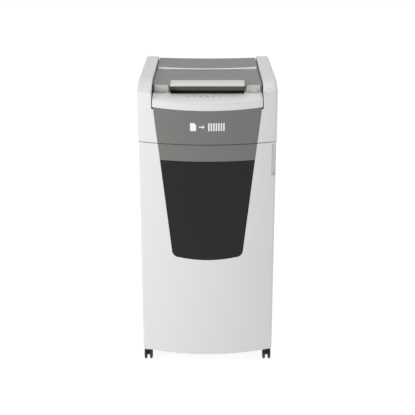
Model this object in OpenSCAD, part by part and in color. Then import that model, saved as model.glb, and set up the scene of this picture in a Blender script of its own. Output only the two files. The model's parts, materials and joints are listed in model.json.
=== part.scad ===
// Tall auto-feed paper shredder on casters: a bowed cabinet with a side-hung door and a bin,
// and a head with a lid over the paper tray, the cutting block and its drive.
// Frame: X to the viewer's right, Y to the back, Z up, origin on the floor under the middle.

/* [Overall] */
// Width over the head covers
body_w = 422; // [350:1:508]
// Depth from the bowed front to the back
body_d = 560; // [500:1:672]
// Height of the shoulder tops above the floor
body_h = 933; // [770:1:1120]
// Height of the head, from the seam up to the shoulder tops
head_h = 177; // [175:1:215]
// How far the middle of the front bows out past the corners
front_bow = 44; // [20:1:60]
// Radius of the front corners in plan
corner_r = 14; // [11:0.2:17]
// Radius of the rear corners in plan
rear_r = 18; // [12:0.5:30]
// How far the cabinet is set in below the head
cabinet_step = 1.2; // [0:0.1:2]

/* [Walls and gaps] */
// Wall of the moulded covers
wall = 3; // [2:0.1:4]
// Wall of the cabinet's side and back panels
sheet = 2.5; // [1:0.1:3]
// Gap between covers that meet flush
cover_gap = 0.4; // [0.3:0.1:1]
// Height of the open seam above the door
seam_gap = 2.5; // [1:0.1:3]
// Gap between the door's round edge and the cabinet
door_gap = 0.8; // [0.5:0.1:1.5]
// Radial running clearance of every shaft and pin
running = 0.05; // [0.02:0.01:0.1]

/* [Casters] */
// Wheel diameter
wheel_d = 40; // [32:0.5:48]
// Thickness of one wheel of the pair
wheel_t = 8.5; // [8:0.1:16]
// Gap between the two wheels of a caster
wheel_gap = 9.2; // [6:0.1:12]
// Height of a caster up to the shoulder of its stem
caster_h = 50.5; // [50:0.5:70]
// Distance from the stem to the axle
caster_trail = 15; // [8:0.5:22]
// Stem diameter
stem_d = 8; // [6:0.5:10]
// Stem length above the shoulder
stem_l = 26; // [18:1:32]
// Distance from the head's side to the stem
caster_in_x = 15.5; // [15.5:0.5:40]
// Distance from the front bow to the front stems
caster_in_front = 100; // [88:1:120]
// Distance from the back to the rear stems
caster_in_back = 44; // [30:1:80]

/* [Door and window] */
// Width of the dark window at its lower end
window_w = 215.6; // [150:0.2:250]
// Width of the grey front panel where the seam crosses it
panel_w = 301.4; // [260:0.2:310]
// Height of the window's lower edge below the seam
window_drop = 372; // [260:1:420]
// Height of the grey band between the window and the seam
band_h = 53; // [30:1:80]
// Rise of the window's lower edge from its middle to its corners
window_rise = 7; // [2:0.5:12]
// Radius of the window's lower corners
window_r = 21; // [10:0.5:30]
// Height of the grip recess in the door's free edge
grip_h = 105; // [80:1:140]
// Diameter of the door's hinge pins
door_pin_d = 8; // [6:0.5:9]

/* [Head] */
// Width of each shoulder across its flat top
shoulder_w = 43; // [35:0.5:60]
// Gap between the lid and each shoulder
lid_side_gap = 3.5; // [2:0.1:6]
// How far the lid's top lies below the shoulder tops
lid_drop = 7; // [5:0.1:14]
// Depth of the lid from its top to its lower rim
lid_h = 29; // [26:0.5:32]
// Height of the control strip's lip
strip_lip_h = 24; // [18:0.5:30]
// Height of the control strip's lower edge above the seam
strip_up = 103; // [95:0.5:112]
// Width of the lid handle
handle_w = 224; // [180:1:240]
// Diameter of the lid's hinge pins
lid_pin_d = 6; // [4:0.5:8]

/* [Paper path] */
// Width of the manual slot and of the paper tray
paper_w = 226; // [222:1:232]
// Width of the manual slot across the sheet
slot_t = 8; // [5:0.5:10]
// Distance of the paper throat behind the middle of the head
throat_y = 50; // [40:1:60]
// Height of the tray floor above the seam
tray_up = 86; // [84:0.5:92]
// Thickness of the tray floor
tray_t = 3; // [2:0.1:3.5]

/* [Cutting block] */
// Number of discs on each cutter shaft
discs = 28; // [20:1:28]
// Pitch of the discs along a shaft
disc_pitch = 8; // [6.6:0.1:8]
// Thickness of one disc at a pitch of 8, in step with the pitch at any other
disc_t = 3.4; // [2.4:0.1:3.4]
// Radius of the discs
disc_r = 22.5; // [20:0.1:22.6]
// Distance between the two cutter shafts
shaft_gap = 38; // [36:0.1:42]
// Radius of the shafts between the discs
spacer_r = 12.5; // [9:0.1:13]
// Height of the cutter shafts above the seam
shaft_up = 44; // [43:0.5:50]
// Thickness of the block's end plates
plate_t = 5; // [4:0.1:8]
// Radius of the paper feed rollers
roller_r = 15; // [13:0.1:15.5]
// Motor radius
motor_r = 34; // [28:0.5:36]
// Motor length
motor_l = 150; // [100:1:170]

/* [Bin] */
// Gap between the bin and the bosses of the casters
bin_boss_gap = 2; // [1:0.1:12]
// Wall of the bin
bin_wall = 2.5; // [2:0.1:4]
// Travel of the bin before it meets the shut door
bin_travel = 12; // [6:0.5:14]

/* [Hidden] */
$fn = 96;
far = 2000;

white = [0.93, 0.93, 0.92];
grey = [0.45, 0.45, 0.44];
pale_grey = [0.7, 0.7, 0.69];
dark = [0.12, 0.12, 0.13];
steel = [0.72, 0.73, 0.75];
board_green = [0.1, 0.35, 0.2];

// Heights
base_z = caster_h + 2;
base_t = 4;
seam_z = body_h - head_h;
door_z0 = base_z + 4.5;
door_z1 = seam_z - seam_gap;
deck_t = 4;
deck_z = seam_z + deck_t;
board_z = deck_z + 8;
board_t = 1.6;

// Plan: the front bow is one arc, its corners are arcs tangent to it
half_w = body_w / 2;
front_y = -body_d / 2;
back_y = body_d / 2;
bow_r = (half_w * half_w + front_bow * front_bow) / (2 * front_bow);
bow_cy = front_y + bow_r;
corner_x = half_w - corner_r;
corner_y = bow_cy - sqrt(pow(bow_r - corner_r, 2) - pow(corner_x, 2));
tangent_x = corner_x * bow_r / (bow_r - corner_r);

// Cabinet
cab_in = cabinet_step + sheet;
cab_half = half_w - cab_in;
cab_back = back_y - cab_in;
cab_front = corner_y + corner_r + 2;
jamb_t = 2;

// Door: its edges are barrels about the corner centres, and the left one is the hinge
edge_r = corner_r - cabinet_step;
hinge_x = -corner_x;
hinge_y = corner_y;
door_back = corner_y + edge_r;
liner_t = 3;
pin_r = door_pin_d / 2;
pin_reach = 20;

door_switch_z1 = seam_z - 60;
door_switch_z0 = door_switch_z1 - 24;

// Front panel edges run straight from the window's foot up to the control strip
window_z = seam_z - window_drop;
band_z = seam_z - band_h;
panel_slope = (panel_w - window_w) / 2 / window_drop;
function panel_x(z) = window_w / 2 + panel_slope * (z - window_z);
window_rim = sqrt(1 + panel_slope * panel_slope);
window_arc_x = window_w / 2 - window_r;
window_arc_r = (window_arc_x * window_arc_x + window_rise * window_rise) / (2 * window_rise);
window_cz = window_z + window_arc_r - sqrt(pow(window_arc_r - window_r, 2) - pow(window_arc_x, 2));
window_cx = panel_x(window_cz) - window_r * window_rim;
window_a0 = atan2(window_cz - window_z - window_arc_r, window_cx);
window_a1 = -atan(panel_slope);
corner_steps = 8;
sill_steps = 12;

// Grip recess in the free edge
grip_z1 = door_z1 - 4;
grip_z0 = grip_z1 - grip_h;
grip_x = corner_x;
grip_floor = corner_y + 7;

// Lid and control strip
lid_top = body_h - lid_drop;
lid_half = half_w - shoulder_w - lid_side_gap;
shoulder_x = half_w - shoulder_w;
lid_front = front_y + 90;
lid_front_drop = 6;
lid_step = 5.5;
lid_rim = lid_top - lid_h;
barrel_r = 22;
barrel_y = back_y - wall - 1 - barrel_r;
barrel_z = lid_top - barrel_r;
dish = 3;
dish_steps = 16;
crease_y = throat_y + slot_t / 2 + 4;
crease_r = 850;
slot_y0 = throat_y - slot_t / 2;
slot_y1 = throat_y + slot_t / 2;
handle_half = handle_w / 2;
handle_nose = lid_front - 28;
handle_tail = lid_front + 40;
handle_setback = 25;
strip_z = seam_z + strip_up;
strip_lip_z = strip_z + strip_lip_h;
strip_back = lid_front - cover_gap - 1;
strip_half = half_w - shoulder_w - 3;
strip_top = lid_rim;
strip_rise = (strip_top - strip_lip_z) / (strip_back - front_y);
function strip_at(y) = strip_lip_z + strip_rise * (y - front_y);
strip_arc_r = 2270;
scoop_y = lid_front - 18;
scoop_drop = 18;
scoop_end = lid_front + handle_setback - 8;

// Shoulder side profile: level top, one long arc down to the front, round rear edge
brow_y = front_y + 145;
brow_r = 265;
rump_r = 40;
crown_r = 9;

// Paper tray and platen
tray_z = seam_z + tray_up;
tray_half = paper_w / 2 + 3;
tray_wall = 3;
tray_rim_z = lid_rim - 4;
tray_front = lid_front + handle_setback + 7;
tray_back = barrel_y - barrel_r - 6;
liner_z = lid_rim + 3;
platen_z = liner_z - 14;
platen_t = 3;
platen_front = tray_front + 14;
platen_back = tray_back - 14;
platen_half = tray_half - 1.5;
platen_slot = paper_w / 2 - 2;
spring_r = 6;
spring_x = platen_half - 20;
spring_ys = [platen_front + 25, platen_back - 25];

// Cutting block
front_shaft_y = throat_y - shaft_gap / 2;
rear_shaft_y = throat_y + shaft_gap / 2;
shaft_z = seam_z + shaft_up;
disc_made_t = disc_t * disc_pitch / 8;
plate_x = max(tray_half, discs * disc_pitch / 2 + 4);
plate_out = plate_x + plate_t;
journal_r = 7;
pulley_r = 9;
belt_w = 7;
belt_t = 1.5;
bearing_r = 12;
feed_up = tray_up + tray_t + 3 - roller_r;
feed_z = seam_z + feed_up;
feed_out = 26;
front_feed_y = front_shaft_y - feed_out;
rear_feed_y = rear_shaft_y + feed_out;
feed_r = 4;
rollers_x = [-70, 0, 70];
roller_l = 24;
plate_top = tray_z - 0.5;
plate_y0 = front_feed_y - 14;
rod_r = 4;
rod_spots = [[plate_y0 + 9, deck_z + 12], [plate_y0 + 30, deck_z + 8], [rear_feed_y + 8, deck_z + 9]];

// Gears: tooth counts and modules; the drive runs back from the rear shaft to the motor
cutter_teeth = 19;
cutter_module = shaft_gap / cutter_teeth;
drive_teeth = 48;
small_teeth = 16;
big_teeth = 56;
pinion_teeth = 14;
drive_module = 1.25;
motor_module = 1;
reduction_y = rear_shaft_y + drive_module * (drive_teeth + small_teeth) / 2;
motor_y = reduction_y + motor_module * (big_teeth + pinion_teeth) / 2;
plate_y1 = motor_y + motor_r + 6;
gear_t = 8;
gear_x = plate_out + 2;
second_gear_x = gear_x + gear_t + 2;
belt_x = gear_x + gear_t + 3;
shaft_end_x = belt_x + belt_w + 2;
reduction_r = 5;
motor_shaft_r = 4;

// Casters: stems stand at these places, and the wheels trail towards the front
stem_x = half_w - caster_in_x;
stem_front = front_y + caster_in_front;
stem_back = back_y - caster_in_back;
wheel_r = wheel_d / 2;
wheel_space = wheel_gap / 2;
web_t = 2 * wheel_space - 0.8;
axle_r = 3;
socket_r = 7;
boss_r = 10.5;

// Bin
bin_lip = 2;
bin_half = stem_x - boss_r - bin_boss_gap + bin_lip;
bin_front = door_back + bin_travel + 4.6;
bin_back = cab_back - 20;
runner_t = 4;
bin_z = base_z + base_t + runner_t + 0.4;
bin_top = seam_z - 66;
bin_r = 24;

// Rear fittings
inlet_x = -110;
inlet_z = seam_z + 34;
inlet_w = 28;
inlet_h = 20;
switch_x = -62;
switch_w = 22;
switch_h = 15;
rocker_r = 1;
rocker_y = back_y - 6;
rocker_tilt = 7;
rear_top = barrel_z - 6;
rear_shelf = barrel_z - barrel_r - 6;
screw_r = 2;
rear_screws = [for (sx = [-1, 1]) for (z = [seam_z + 10, rear_top - 10]) [sx * (shoulder_x - 10), z]];
back_screws = [for (sx = [-1, 1]) for (z = [base_z + 30, (base_z + seam_z) / 2, seam_z - 30])
    [sx * (half_w - 30), z]];

// ---- helpers ----

// Extrudes a drawing of (x, z) from y0 to y1
module along_y(y0, y1) {
    translate([0, y1, 0]) rotate([90, 0, 0]) linear_extrude(y1 - y0) children();
}

// Extrudes a drawing of (y, z) from x0 to x1
module along_x(x0, x1) {
    translate([x0, 0, 0]) rotate([90, 0, 90]) linear_extrude(x1 - x0) children();
}

// Extrudes a drawing of (x, y) from z0 to z1
module along_z(z0, z1) {
    translate([0, 0, z0]) linear_extrude(z1 - z0) children();
}

// Draws a rectangle between two corners
module rect(x0, y0, x1, y1) {
    translate([x0, y0]) square([x1 - x0, y1 - y0]);
}

// Makes a box between two corners
module block(x0, y0, z0, x1, y1, z1) {
    translate([x0, y0, z0]) cube([x1 - x0, y1 - y0, z1 - z0]);
}

// Makes a round bar along X
module bar_x(x0, x1, y, z, r) {
    translate([x0, y, z]) rotate([0, 90, 0]) cylinder(h = x1 - x0, r = r);
}

// Makes a round bar along Y
module bar_y(y0, y1, x, z, r) {
    translate([x, y1, z]) rotate([90, 0, 0]) cylinder(h = y1 - y0, r = r);
}

// Makes a round bar along Z
module bar_z(z0, z1, x, y, r) {
    translate([x, y, z0]) cylinder(h = z1 - z0, r = r);
}

// Repeats a child on both sides
module both_sides() {
    children();
    mirror([1, 0, 0]) children();
}

// Front part of the outline, as far back as the corner centres
module bow(inset) {
    intersection() {
        translate([0, bow_cy]) circle(r = bow_r - inset, $fn = 360);
        rect(-tangent_x, front_y - 1, tangent_x, corner_y);
    }
    for (s = [-1, 1]) translate([s * corner_x, corner_y]) circle(r = corner_r - inset);
}

// Whole outline of the body, inset all round
module plan(inset) {
    bow(inset);
    rect(inset - half_w, corner_y, half_w - inset, back_y - rear_r);
    rect(rear_r - half_w, corner_y, half_w - rear_r, back_y - inset);
    for (s = [-1, 1]) translate([s * (half_w - rear_r), back_y - rear_r]) circle(r = rear_r - inset);
}

// Outline of the door, which ends in two barrels
module door_plan(inset) {
    bow(cabinet_step + inset);
    rect(-corner_x, corner_y - 1, corner_x, door_back - inset);
}

// Point on the rounded lower corner of the window, from the sill (t = 0) to the side (t = 1)
function window_corner(side, grow, t) =
    let (a = window_a0 + (window_a1 - window_a0) * t)
    [side * (window_cx + (window_r + grow) * cos(a)), window_cz + (window_r + grow) * sin(a)];

// Point on the sagging sill of the window, from left (t = 0) to right (t = 1)
function window_sill(grow, t) =
    let (a = 180 - window_a0 + (2 * window_a0 + 180) * t)
    [(window_arc_r + grow) * cos(a), window_z + window_arc_r + (window_arc_r + grow) * sin(a)];

// Window outline in (x, z) up to a height, grown all round
module window_zone(top, grow) {
    polygon(concat(
        [for (i = [0 : corner_steps]) window_corner(1, grow, i / corner_steps)],
        [[panel_x(top) + grow, top], [-panel_x(top) - grow, top]],
        [for (i = [corner_steps : -1 : 0]) window_corner(-1, grow, i / corner_steps)],
        [for (i = [1 : sill_steps - 1]) window_sill(grow, i / sill_steps)]
    ));
}

// Front panel outline in (x, z) between two heights, grown sideways
module panel_zone(z0, z1, grow) {
    polygon([
        [-panel_x(z0) - grow, z0],
        [panel_x(z0) + grow, z0],
        [panel_x(z1) + grow, z1],
        [-panel_x(z1) - grow, z1]
    ]);
}

// Gear outline in (y, z) with straight flanks and some backlash
module gear_outline(m, teeth, phase) {
    pitch_r = m * teeth / 2;
    tip_r = pitch_r + 0.85 * m;
    root_r = pitch_r - 1.2 * m;
    half = PI * m / 4 - 0.13 * m;
    tip_a = (half - 0.36 * m) / pitch_r * 180 / PI;
    root_a = (half + 0.36 * m) / pitch_r * 180 / PI;
    corners = [[-root_a, root_r], [-tip_a, tip_r], [tip_a, tip_r], [root_a, root_r]];
    polygon([for (i = [0 : teeth - 1]) for (c = corners)
        let (a = phase + 360 * i / teeth + c[0]) [c[1] * cos(a), c[1] * sin(a)]]);
}

// Makes a gear along X with a bore
module gear(x0, thick, y, z, m, teeth, phase, bore) {
    along_x(x0, x0 + thick) translate([y, z]) difference() {
        gear_outline(m, teeth, phase);
        circle(r = bore);
    }
}

// ---- casters and base ----

module stem_spots() {
    for (sx = [-1, 1]) for (sy = [stem_front, stem_back]) translate([sx * stem_x, sy, 0]) children();
}

module base_tray() {
    color(dark) difference() {
        union() {
            along_z(base_z, base_z + base_t) intersection() {
                plan(cab_in + 0.1);
                rect(-half_w, cab_front, half_w, back_y);
            }
            stem_spots() bar_z(base_z, base_z + stem_l + 3, 0, 0, boss_r);
            both_sides() block(cab_half - 8, stem_front + 20, base_z, cab_half - 4, stem_back - 20,
                base_z + 20);
            for (y = [stem_front, 0, stem_back])
                block(52 - bin_half, y - 2, base_z, bin_half - 52, y + 2,
                    base_z + base_t + runner_t - 1);
        }
        stem_spots() bar_z(base_z - 1, base_z + stem_l + 4, 0, 0, socket_r);
    }
}

module caster_sockets() {
    color(steel) stem_spots() difference() {
        bar_z(base_z, base_z + stem_l + 3, 0, 0, socket_r);
        bar_z(base_z - 1, base_z + stem_l + 4, 0, 0, stem_d / 2 + running);
    }
}

module caster_fork(x, y) {
    color(dark) translate([x, y - caster_trail, 0]) difference() {
        union() {
            bar_x(-web_t / 2, web_t / 2, 0, wheel_r, axle_r + 4);
            block(-web_t / 2, 0, wheel_r - 4, web_t / 2, caster_trail + 6, caster_h - 6);
            bar_z(caster_h - 12, caster_h, 0, caster_trail, 9);
            bar_z(caster_h - 12, caster_h + stem_l, 0, caster_trail, stem_d / 2);
            intersection() {
                difference() {
                    bar_x(-wheel_t - wheel_space, wheel_t + wheel_space, 0, wheel_r, wheel_r + 3.5);
                    bar_x(-far, far, 0, wheel_r, wheel_r + 1);
                }
                block(-far, -8, wheel_r + 10, far, far, far);
            }
            block(-web_t / 2, -6, wheel_r + 8, web_t / 2, 8, wheel_d + 2);
        }
        bar_x(-far, far, 0, wheel_r, axle_r + running);
    }
}

module caster_wheels(x, y) {
    tread = 1.5;
    color(dark) translate([x, y - caster_trail, wheel_r]) {
        both_sides() translate([wheel_space, 0, 0]) rotate([0, 90, 0]) rotate_extrude() {
            polygon([
                [0, 0.3], [axle_r + 2, 0], [wheel_r - 3, 0], [wheel_r, tread],
                [wheel_r, wheel_t - tread], [wheel_r - 2, wheel_t - 0.4],
                [wheel_r - 8, wheel_t + 0.5], [0, wheel_t + 0.7]
            ]);
        }
        bar_x(-wheel_space - 1, wheel_space + 1, 0, 0, axle_r);
    }
}

module caster_fl_fork() { caster_fork(-stem_x, stem_front); }
module caster_fr_fork() { caster_fork(stem_x, stem_front); }
module caster_rl_fork() { caster_fork(-stem_x, stem_back); }
module caster_rr_fork() { caster_fork(stem_x, stem_back); }
module caster_fl_wheels() { caster_wheels(-stem_x, stem_front); }
module caster_fr_wheels() { caster_wheels(stem_x, stem_front); }
module caster_rl_wheels() { caster_wheels(-stem_x, stem_back); }
module caster_rr_wheels() { caster_wheels(stem_x, stem_back); }

// ---- cabinet ----

module side_panel_right() {
    color(white) difference() {
        along_z(base_z, seam_z - 1) difference() {
            plan(cabinet_step);
            plan(cab_in);
            rect(-half_w, front_y - 1, half_w - rear_r - 6, back_y);
            rect(0, front_y - 1, half_w, corner_y + 6);
            translate([corner_x, corner_y]) circle(r = edge_r + door_gap);
        }
    }
}

module side_panel_left() {
    mirror([1, 0, 0]) side_panel_right();
}

module back_panel() {
    edge = half_w - rear_r - 6 - cover_gap;
    color(white) difference() {
        union() {
            block(-edge, cab_back, base_z, edge, cab_back + sheet, seam_z - 1);
            both_sides() block(edge - 3, cab_back - 12, base_z + base_t + 1, edge, cab_back + 1,
                seam_z - 20);
            for (z = [base_z + 160, base_z + 320, base_z + 480])
                block(-edge + 30, cab_back - 6, z, edge - 30, cab_back + 1, z + 3);
        }
        for (s = back_screws) bar_y(cab_back - 20, back_y + 1, s[0], s[1], screw_r + 0.1);
    }
}

module front_frame() {
    side = 16;
    color(pale_grey) difference() {
        block(-cab_half + 0.3, cab_front, base_z + base_t, cab_half - 0.3, cab_front + jamb_t,
            seam_z - 2);
        block(side - cab_half, -far, base_z + base_t + 3, cab_half - side, far, seam_z - 30);
        block(-cab_half + 8, -far, door_switch_z0 - 1, -cab_half + side + 4, far, door_switch_z1 + 1);
    }
}

module door_switch() {
    x0 = -cab_half + 9;
    color(dark) {
        block(x0, cab_front - 0.5, door_switch_z0, x0 + 10, cab_front + 18, door_switch_z1);
        block(x0 - 4, cab_front + jamb_t, door_switch_z0 - 4, x0 + 14, cab_front + jamb_t + 2,
            door_switch_z1 + 4);
    }
}

module deck_frame() {
    chip = paper_w / 2 + 2;
    color(steel) difference() {
        union() {
            along_z(seam_z, deck_z) plan(wall + 0.2);
            along_z(seam_z - 16, seam_z + 1) difference() {
                plan(cab_in + 0.2);
                plan(cab_in + 3);
                rect(-half_w, front_y - 1, half_w, cab_front + jamb_t + 1);
            }
            both_sides() block(70, corner_y, seam_z, 76, corner_y + 12, board_z);
            both_sides() block(70, corner_y + 40, seam_z, 76, corner_y + 52, board_z);
        }
        block(-chip + 6, front_shaft_y - 14, -far, chip - 6, rear_shaft_y + 14, far);
        bar_z(-far, far, hinge_x, hinge_y, pin_r + 0.1);
    }
}

module control_boards() {
    touch_board();
    color(board_green) block(-90, corner_y - 8, board_z, 90, corner_y + 60, board_z + board_t);
    color(dark) for (x = [-70, -30, 20, 55])
        block(x, corner_y + 14, board_z + board_t, x + 18, corner_y + 34, board_z + board_t + 9);
}

module power_board() {
    x1 = -plate_out - 22;
    x0 = x1 - 3;
    y0 = rear_feed_y + 30;
    color(board_green) block(x0, y0, deck_z, x0 + board_t, y0 + 110, deck_z + 70);
    color(dark) for (y = [y0 + 12, y0 + 44, y0 + 78])
        block(x0 + board_t, y, deck_z + 14, x0 + board_t + 16, y + 22, deck_z + 44);
}

// ---- bin ----

module bin_outline(inset) {
    x = bin_half - inset;
    r = bin_r - inset;
    rect(r - x, bin_front + inset, x - r, bin_back - inset);
    rect(-x, bin_front + inset + r, x, bin_back - inset - r);
    for (sx = [-1, 1]) for (y = [bin_front + inset + r, bin_back - inset - r])
        translate([sx * (x - r), y]) circle(r = r);
}

module bin() {
    color(dark) difference() {
        union() {
            along_z(bin_z, bin_top) bin_outline(bin_lip);
            along_z(bin_top - 8, bin_top) bin_outline(0);
        }
        along_z(bin_z + bin_wall, far) bin_outline(bin_lip + bin_wall);
        along_y(bin_front - 1, bin_front + 10) {
            rect(-46, bin_top - 62, 46, bin_top - 32);
            for (s = [-1, 1]) translate([s * 46, bin_top - 47]) circle(r = 15);
        }
    }
}

module bin_runners() {
    color(pale_grey) both_sides()
        block(bin_half - 50, bin_front + 4, base_z + base_t, bin_half - 24, bin_back - 4,
            base_z + base_t + runner_t);
}

// ---- door ----

module door_shell() {
    cap_back = door_back - liner_t - cover_gap;
    color(white) difference() {
        union() {
            difference() {
                along_z(door_z0, door_z1) difference() {
                    door_plan(0);
                    door_plan(wall);
                    rect(6 - corner_x, corner_y, corner_x - 6, far);
                }
                along_y(front_y - 1, corner_y - 2) window_zone(door_z1 + 1, 0);
                block(grip_x, -far, grip_z0, far, grip_floor, grip_z1);
            }
            for (z = [door_z0, door_z1 - wall]) along_z(z, z + wall) difference() {
                door_plan(wall - 0.5);
                rect(6 - corner_x, cap_back, corner_x - 6, far);
            }
            for (z = [door_z0 + 0.5, door_z1 - pin_reach - 4.5])
                bar_z(z, z + pin_reach + 4, hinge_x, hinge_y, pin_r + 3.5);
        }
        for (z = [door_z0 - 1, door_z1 - pin_reach - 1])
            bar_z(z, z + pin_reach + 2, hinge_x, hinge_y, pin_r + running);
    }
}

module door_window() {
    color(dark) intersection() {
        along_z(window_z - 1, band_z - cover_gap / 2) difference() {
            door_plan(0.3);
            door_plan(wall);
            rect(-far, corner_y - 4, far, far);
        }
        along_y(front_y - 1, corner_y - 3) window_zone(band_z - cover_gap / 2, -cover_gap);
    }
}

module door_trim() {
    color(grey) intersection() {
        along_z(band_z + cover_gap / 2, door_z1 - wall - 0.2) difference() {
            door_plan(0);
            door_plan(wall);
            rect(-far, corner_y - 4, far, far);
        }
        along_y(front_y - 1, corner_y - 3) panel_zone(band_z - 1, door_z1, -cover_gap);
    }
    color(grey) intersection() {
        along_z(door_z1 - wall - 0.2, door_z1) difference() {
            door_plan(0);
            door_plan(wall - 0.9);
            rect(-far, corner_y - 4, far, far);
        }
        along_y(front_y - 1, corner_y - 3) panel_zone(band_z - 1, door_z1 + 1, -cover_gap);
    }
}

module door_liner() {
    x = corner_x - 6 - cover_gap;
    gap = 14;
    color(pale_grey) difference() {
        union() {
            block(-x, door_back - liner_t, door_z0 + 0.5, x, door_back, door_z1 - 0.5);
            for (z = [door_z0 + 60, (door_z0 + window_z) / 2, window_z - 30])
                block(-x + 20, door_back - 12, z, x - 20, door_back - 1, z + 3);
        }
        along_y(-far, far) intersection() {
            window_zone(band_z - gap, -gap);
            rect(-far, window_z, far, band_z);
        }
        block(grip_x - 8, -far, grip_z0 - 4, far, grip_floor + 3, grip_z1 + 3);
    }
}

module door_grip() {
    color(pale_grey) difference() {
        intersection() {
            along_z(grip_z0 + cover_gap, grip_z1 - cover_gap) door_plan(0.6);
            block(grip_x + cover_gap, -far, grip_z0, far, grip_floor - cover_gap, grip_z1);
        }
        intersection() {
            along_z(grip_z0 + 3, grip_z1 - 3) door_plan(0);
            block(grip_x + 2.5, -far, grip_z0, far, grip_floor - 3, grip_z1);
        }
    }
}

module door_hinge_bottom() {
    color(steel) {
        block(hinge_x - 9, hinge_y, base_z, hinge_x + 14, cab_front, base_z + base_t);
        bar_z(base_z, base_z + base_t, hinge_x, hinge_y, 9);
        bar_z(base_z, door_z0 + pin_reach - 1, hinge_x, hinge_y, pin_r);
    }
}

module door_hinge_top() {
    color(steel) {
        bar_z(door_z1 - pin_reach + 1, deck_z + 1, hinge_x, hinge_y, pin_r);
        bar_z(deck_z, deck_z + 3, hinge_x, hinge_y, pin_r + 3);
    }
}

// ---- head covers ----

// Side profile of the shoulders in (y, z), inset all round
module shoulder_profile(inset) {
    top = body_h - inset;
    intersection() {
        union() {
            translate([brow_y, body_h - brow_r]) circle(r = brow_r - inset, $fn = 360);
            rect(brow_y, seam_z - 10, back_y - rump_r, top);
            rect(brow_y, seam_z - 10, back_y - inset, body_h - rump_r);
            translate([back_y - rump_r, body_h - rump_r]) circle(r = rump_r - inset);
        }
        rect(front_y - 1, seam_z - 10, back_y, body_h);
    }
}

// Front profile of one shoulder in (x, z) with its round outer top edge
module crown_profile(inset) {
    r = crown_r - inset;
    rect(-half_w, seam_z - 10, half_w - inset, body_h - crown_r);
    rect(-half_w, seam_z - 10, half_w - crown_r, body_h - inset);
    translate([half_w - crown_r, body_h - crown_r]) circle(r = r);
}

module shoulder_solid(inset) {
    intersection() {
        along_z(seam_z + (inset == 0 ? 0 : -5), far) plan(inset);
        along_x(0, half_w) shoulder_profile(inset);
        along_y(front_y - 1, back_y) crown_profile(inset);
    }
}

// Everything between the shoulders, in (x, z)
module head_middle(grow) {
    panel_zone(seam_z - 6, strip_z, grow);
    rect(-shoulder_x, strip_z - 0.5, shoulder_x, far);
}

module shoulder_right() {
    color(white) union() {
        difference() {
            shoulder_solid(0);
            shoulder_solid(wall);
            along_y(front_y - 1, corner_y + 30) head_middle(0);
            block(0, -far, 0, shoulder_x, far, far);
        }
        difference() {
            intersection() {
                shoulder_solid(0.5);
                along_y(front_y, corner_y - 1) rect(0, seam_z, shoulder_x + 1, strip_z - 1);
            }
            shoulder_solid(wall);
            along_y(front_y - 1, corner_y + 30) head_middle(0);
        }
        intersection() {
            shoulder_solid(0.5);
            block(shoulder_x, corner_y - 10, tray_rim_z - 14, shoulder_x + 2.5,
                back_y - wall - 0.2, far);
        }
    }
}

module shoulder_left() {
    mirror([1, 0, 0]) shoulder_right();
}

// Lower edge of the control strip: a shallow arc that rises to both ends
module strip_zone(shift) {
    intersection() {
        rect(-strip_half, strip_z - 1, strip_half, far);
        translate([0, strip_z + strip_arc_r + shift]) circle(r = strip_arc_r, $fn = 720);
    }
}

module front_panel() {
    color(grey) intersection() {
        along_z(seam_z, far) difference() {
            plan(0);
            plan(wall);
            rect(-far, corner_y - 2, far, far);
        }
        along_y(front_y - 1, corner_y - 1) difference() {
            panel_zone(seam_z - 1, strip_z + 7, -cover_gap);
            strip_zone(-cover_gap);
            rect(-far, strip_z + 5, far, far);
        }
    }
}

module control_strip() {
    scoop_half = handle_half + 1;
    color(white) union() {
        difference() {
            intersection() {
                along_z(strip_z - 1, far) plan(0);
                along_y(front_y - 1, strip_back) strip_zone(0);
                along_x(-half_w, half_w) polygon([
                    [front_y - 1, strip_z - 1], [strip_back, strip_z - 1],
                    [strip_back, strip_at(strip_back)], [front_y - 1, strip_at(front_y)]
                ]);
            }
            intersection() {
                along_z(0, far) plan(wall);
                along_x(wall - strip_half, strip_half - wall) polygon([
                    [front_y - 1, 0], [far, 0],
                    [far, strip_at(far) - wall], [front_y - 1, strip_at(front_y) - wall]
                ]);
            }
            block(-scoop_half, scoop_y, 0, scoop_half, far, far);
        }
        along_x(-scoop_half, scoop_half) polygon([
            [scoop_y - 1.5, strip_at(scoop_y) - wall], [scoop_y - 1.5, strip_at(scoop_y) - 0.3],
            [scoop_y, strip_at(scoop_y)], [scoop_end, strip_top - scoop_drop],
            [scoop_end, strip_top - scoop_drop - wall]
        ]);
        both_sides() along_x(scoop_half - 0.5, scoop_half + 2) polygon([
            [scoop_y, strip_at(scoop_y) - wall], [scoop_y, strip_at(scoop_y) - 0.5],
            [strip_back, strip_at(strip_back) - 0.5], [strip_back, strip_top - scoop_drop - wall + 4]
        ]);
    }
}

module touch_board() {
    gap = 0.6;
    y0 = front_y + 44;
    y1 = scoop_y - 8;
    x = strip_half - 22;
    color(board_green) along_x(-x, x) polygon([
        [y0, strip_at(y0) - wall - gap], [y1, strip_at(y1) - wall - gap],
        [y1, strip_at(y1) - wall - gap - board_t], [y0, strip_at(y0) - wall - gap - board_t]
    ]);
}

// ---- rear ----

module rear_cover() {
    x = shoulder_x - cover_gap;
    y0 = back_y - wall;
    color(white) difference() {
        union() {
            block(-x, y0, seam_z, x, back_y, rear_top);
            block(-x, y0 - 14, rear_shelf, x, y0 + 1, rear_shelf + 3);
        }
        block(inlet_x - inlet_w / 2, -far, inlet_z - inlet_h / 2, inlet_x + inlet_w / 2, far,
            inlet_z + inlet_h / 2);
        block(switch_x - switch_w / 2, -far, inlet_z - switch_h / 2, switch_x + switch_w / 2, far,
            inlet_z + switch_h / 2);
        for (i = [0 : 13]) {
            slit_x = 12 + i * 9;
            block(slit_x, -far, seam_z + 22, slit_x + 4, far, seam_z + 82);
        }
        for (s = rear_screws) bar_y(back_y - 20, back_y + 1, s[0], s[1], screw_r + 0.1);
    }
}

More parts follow.
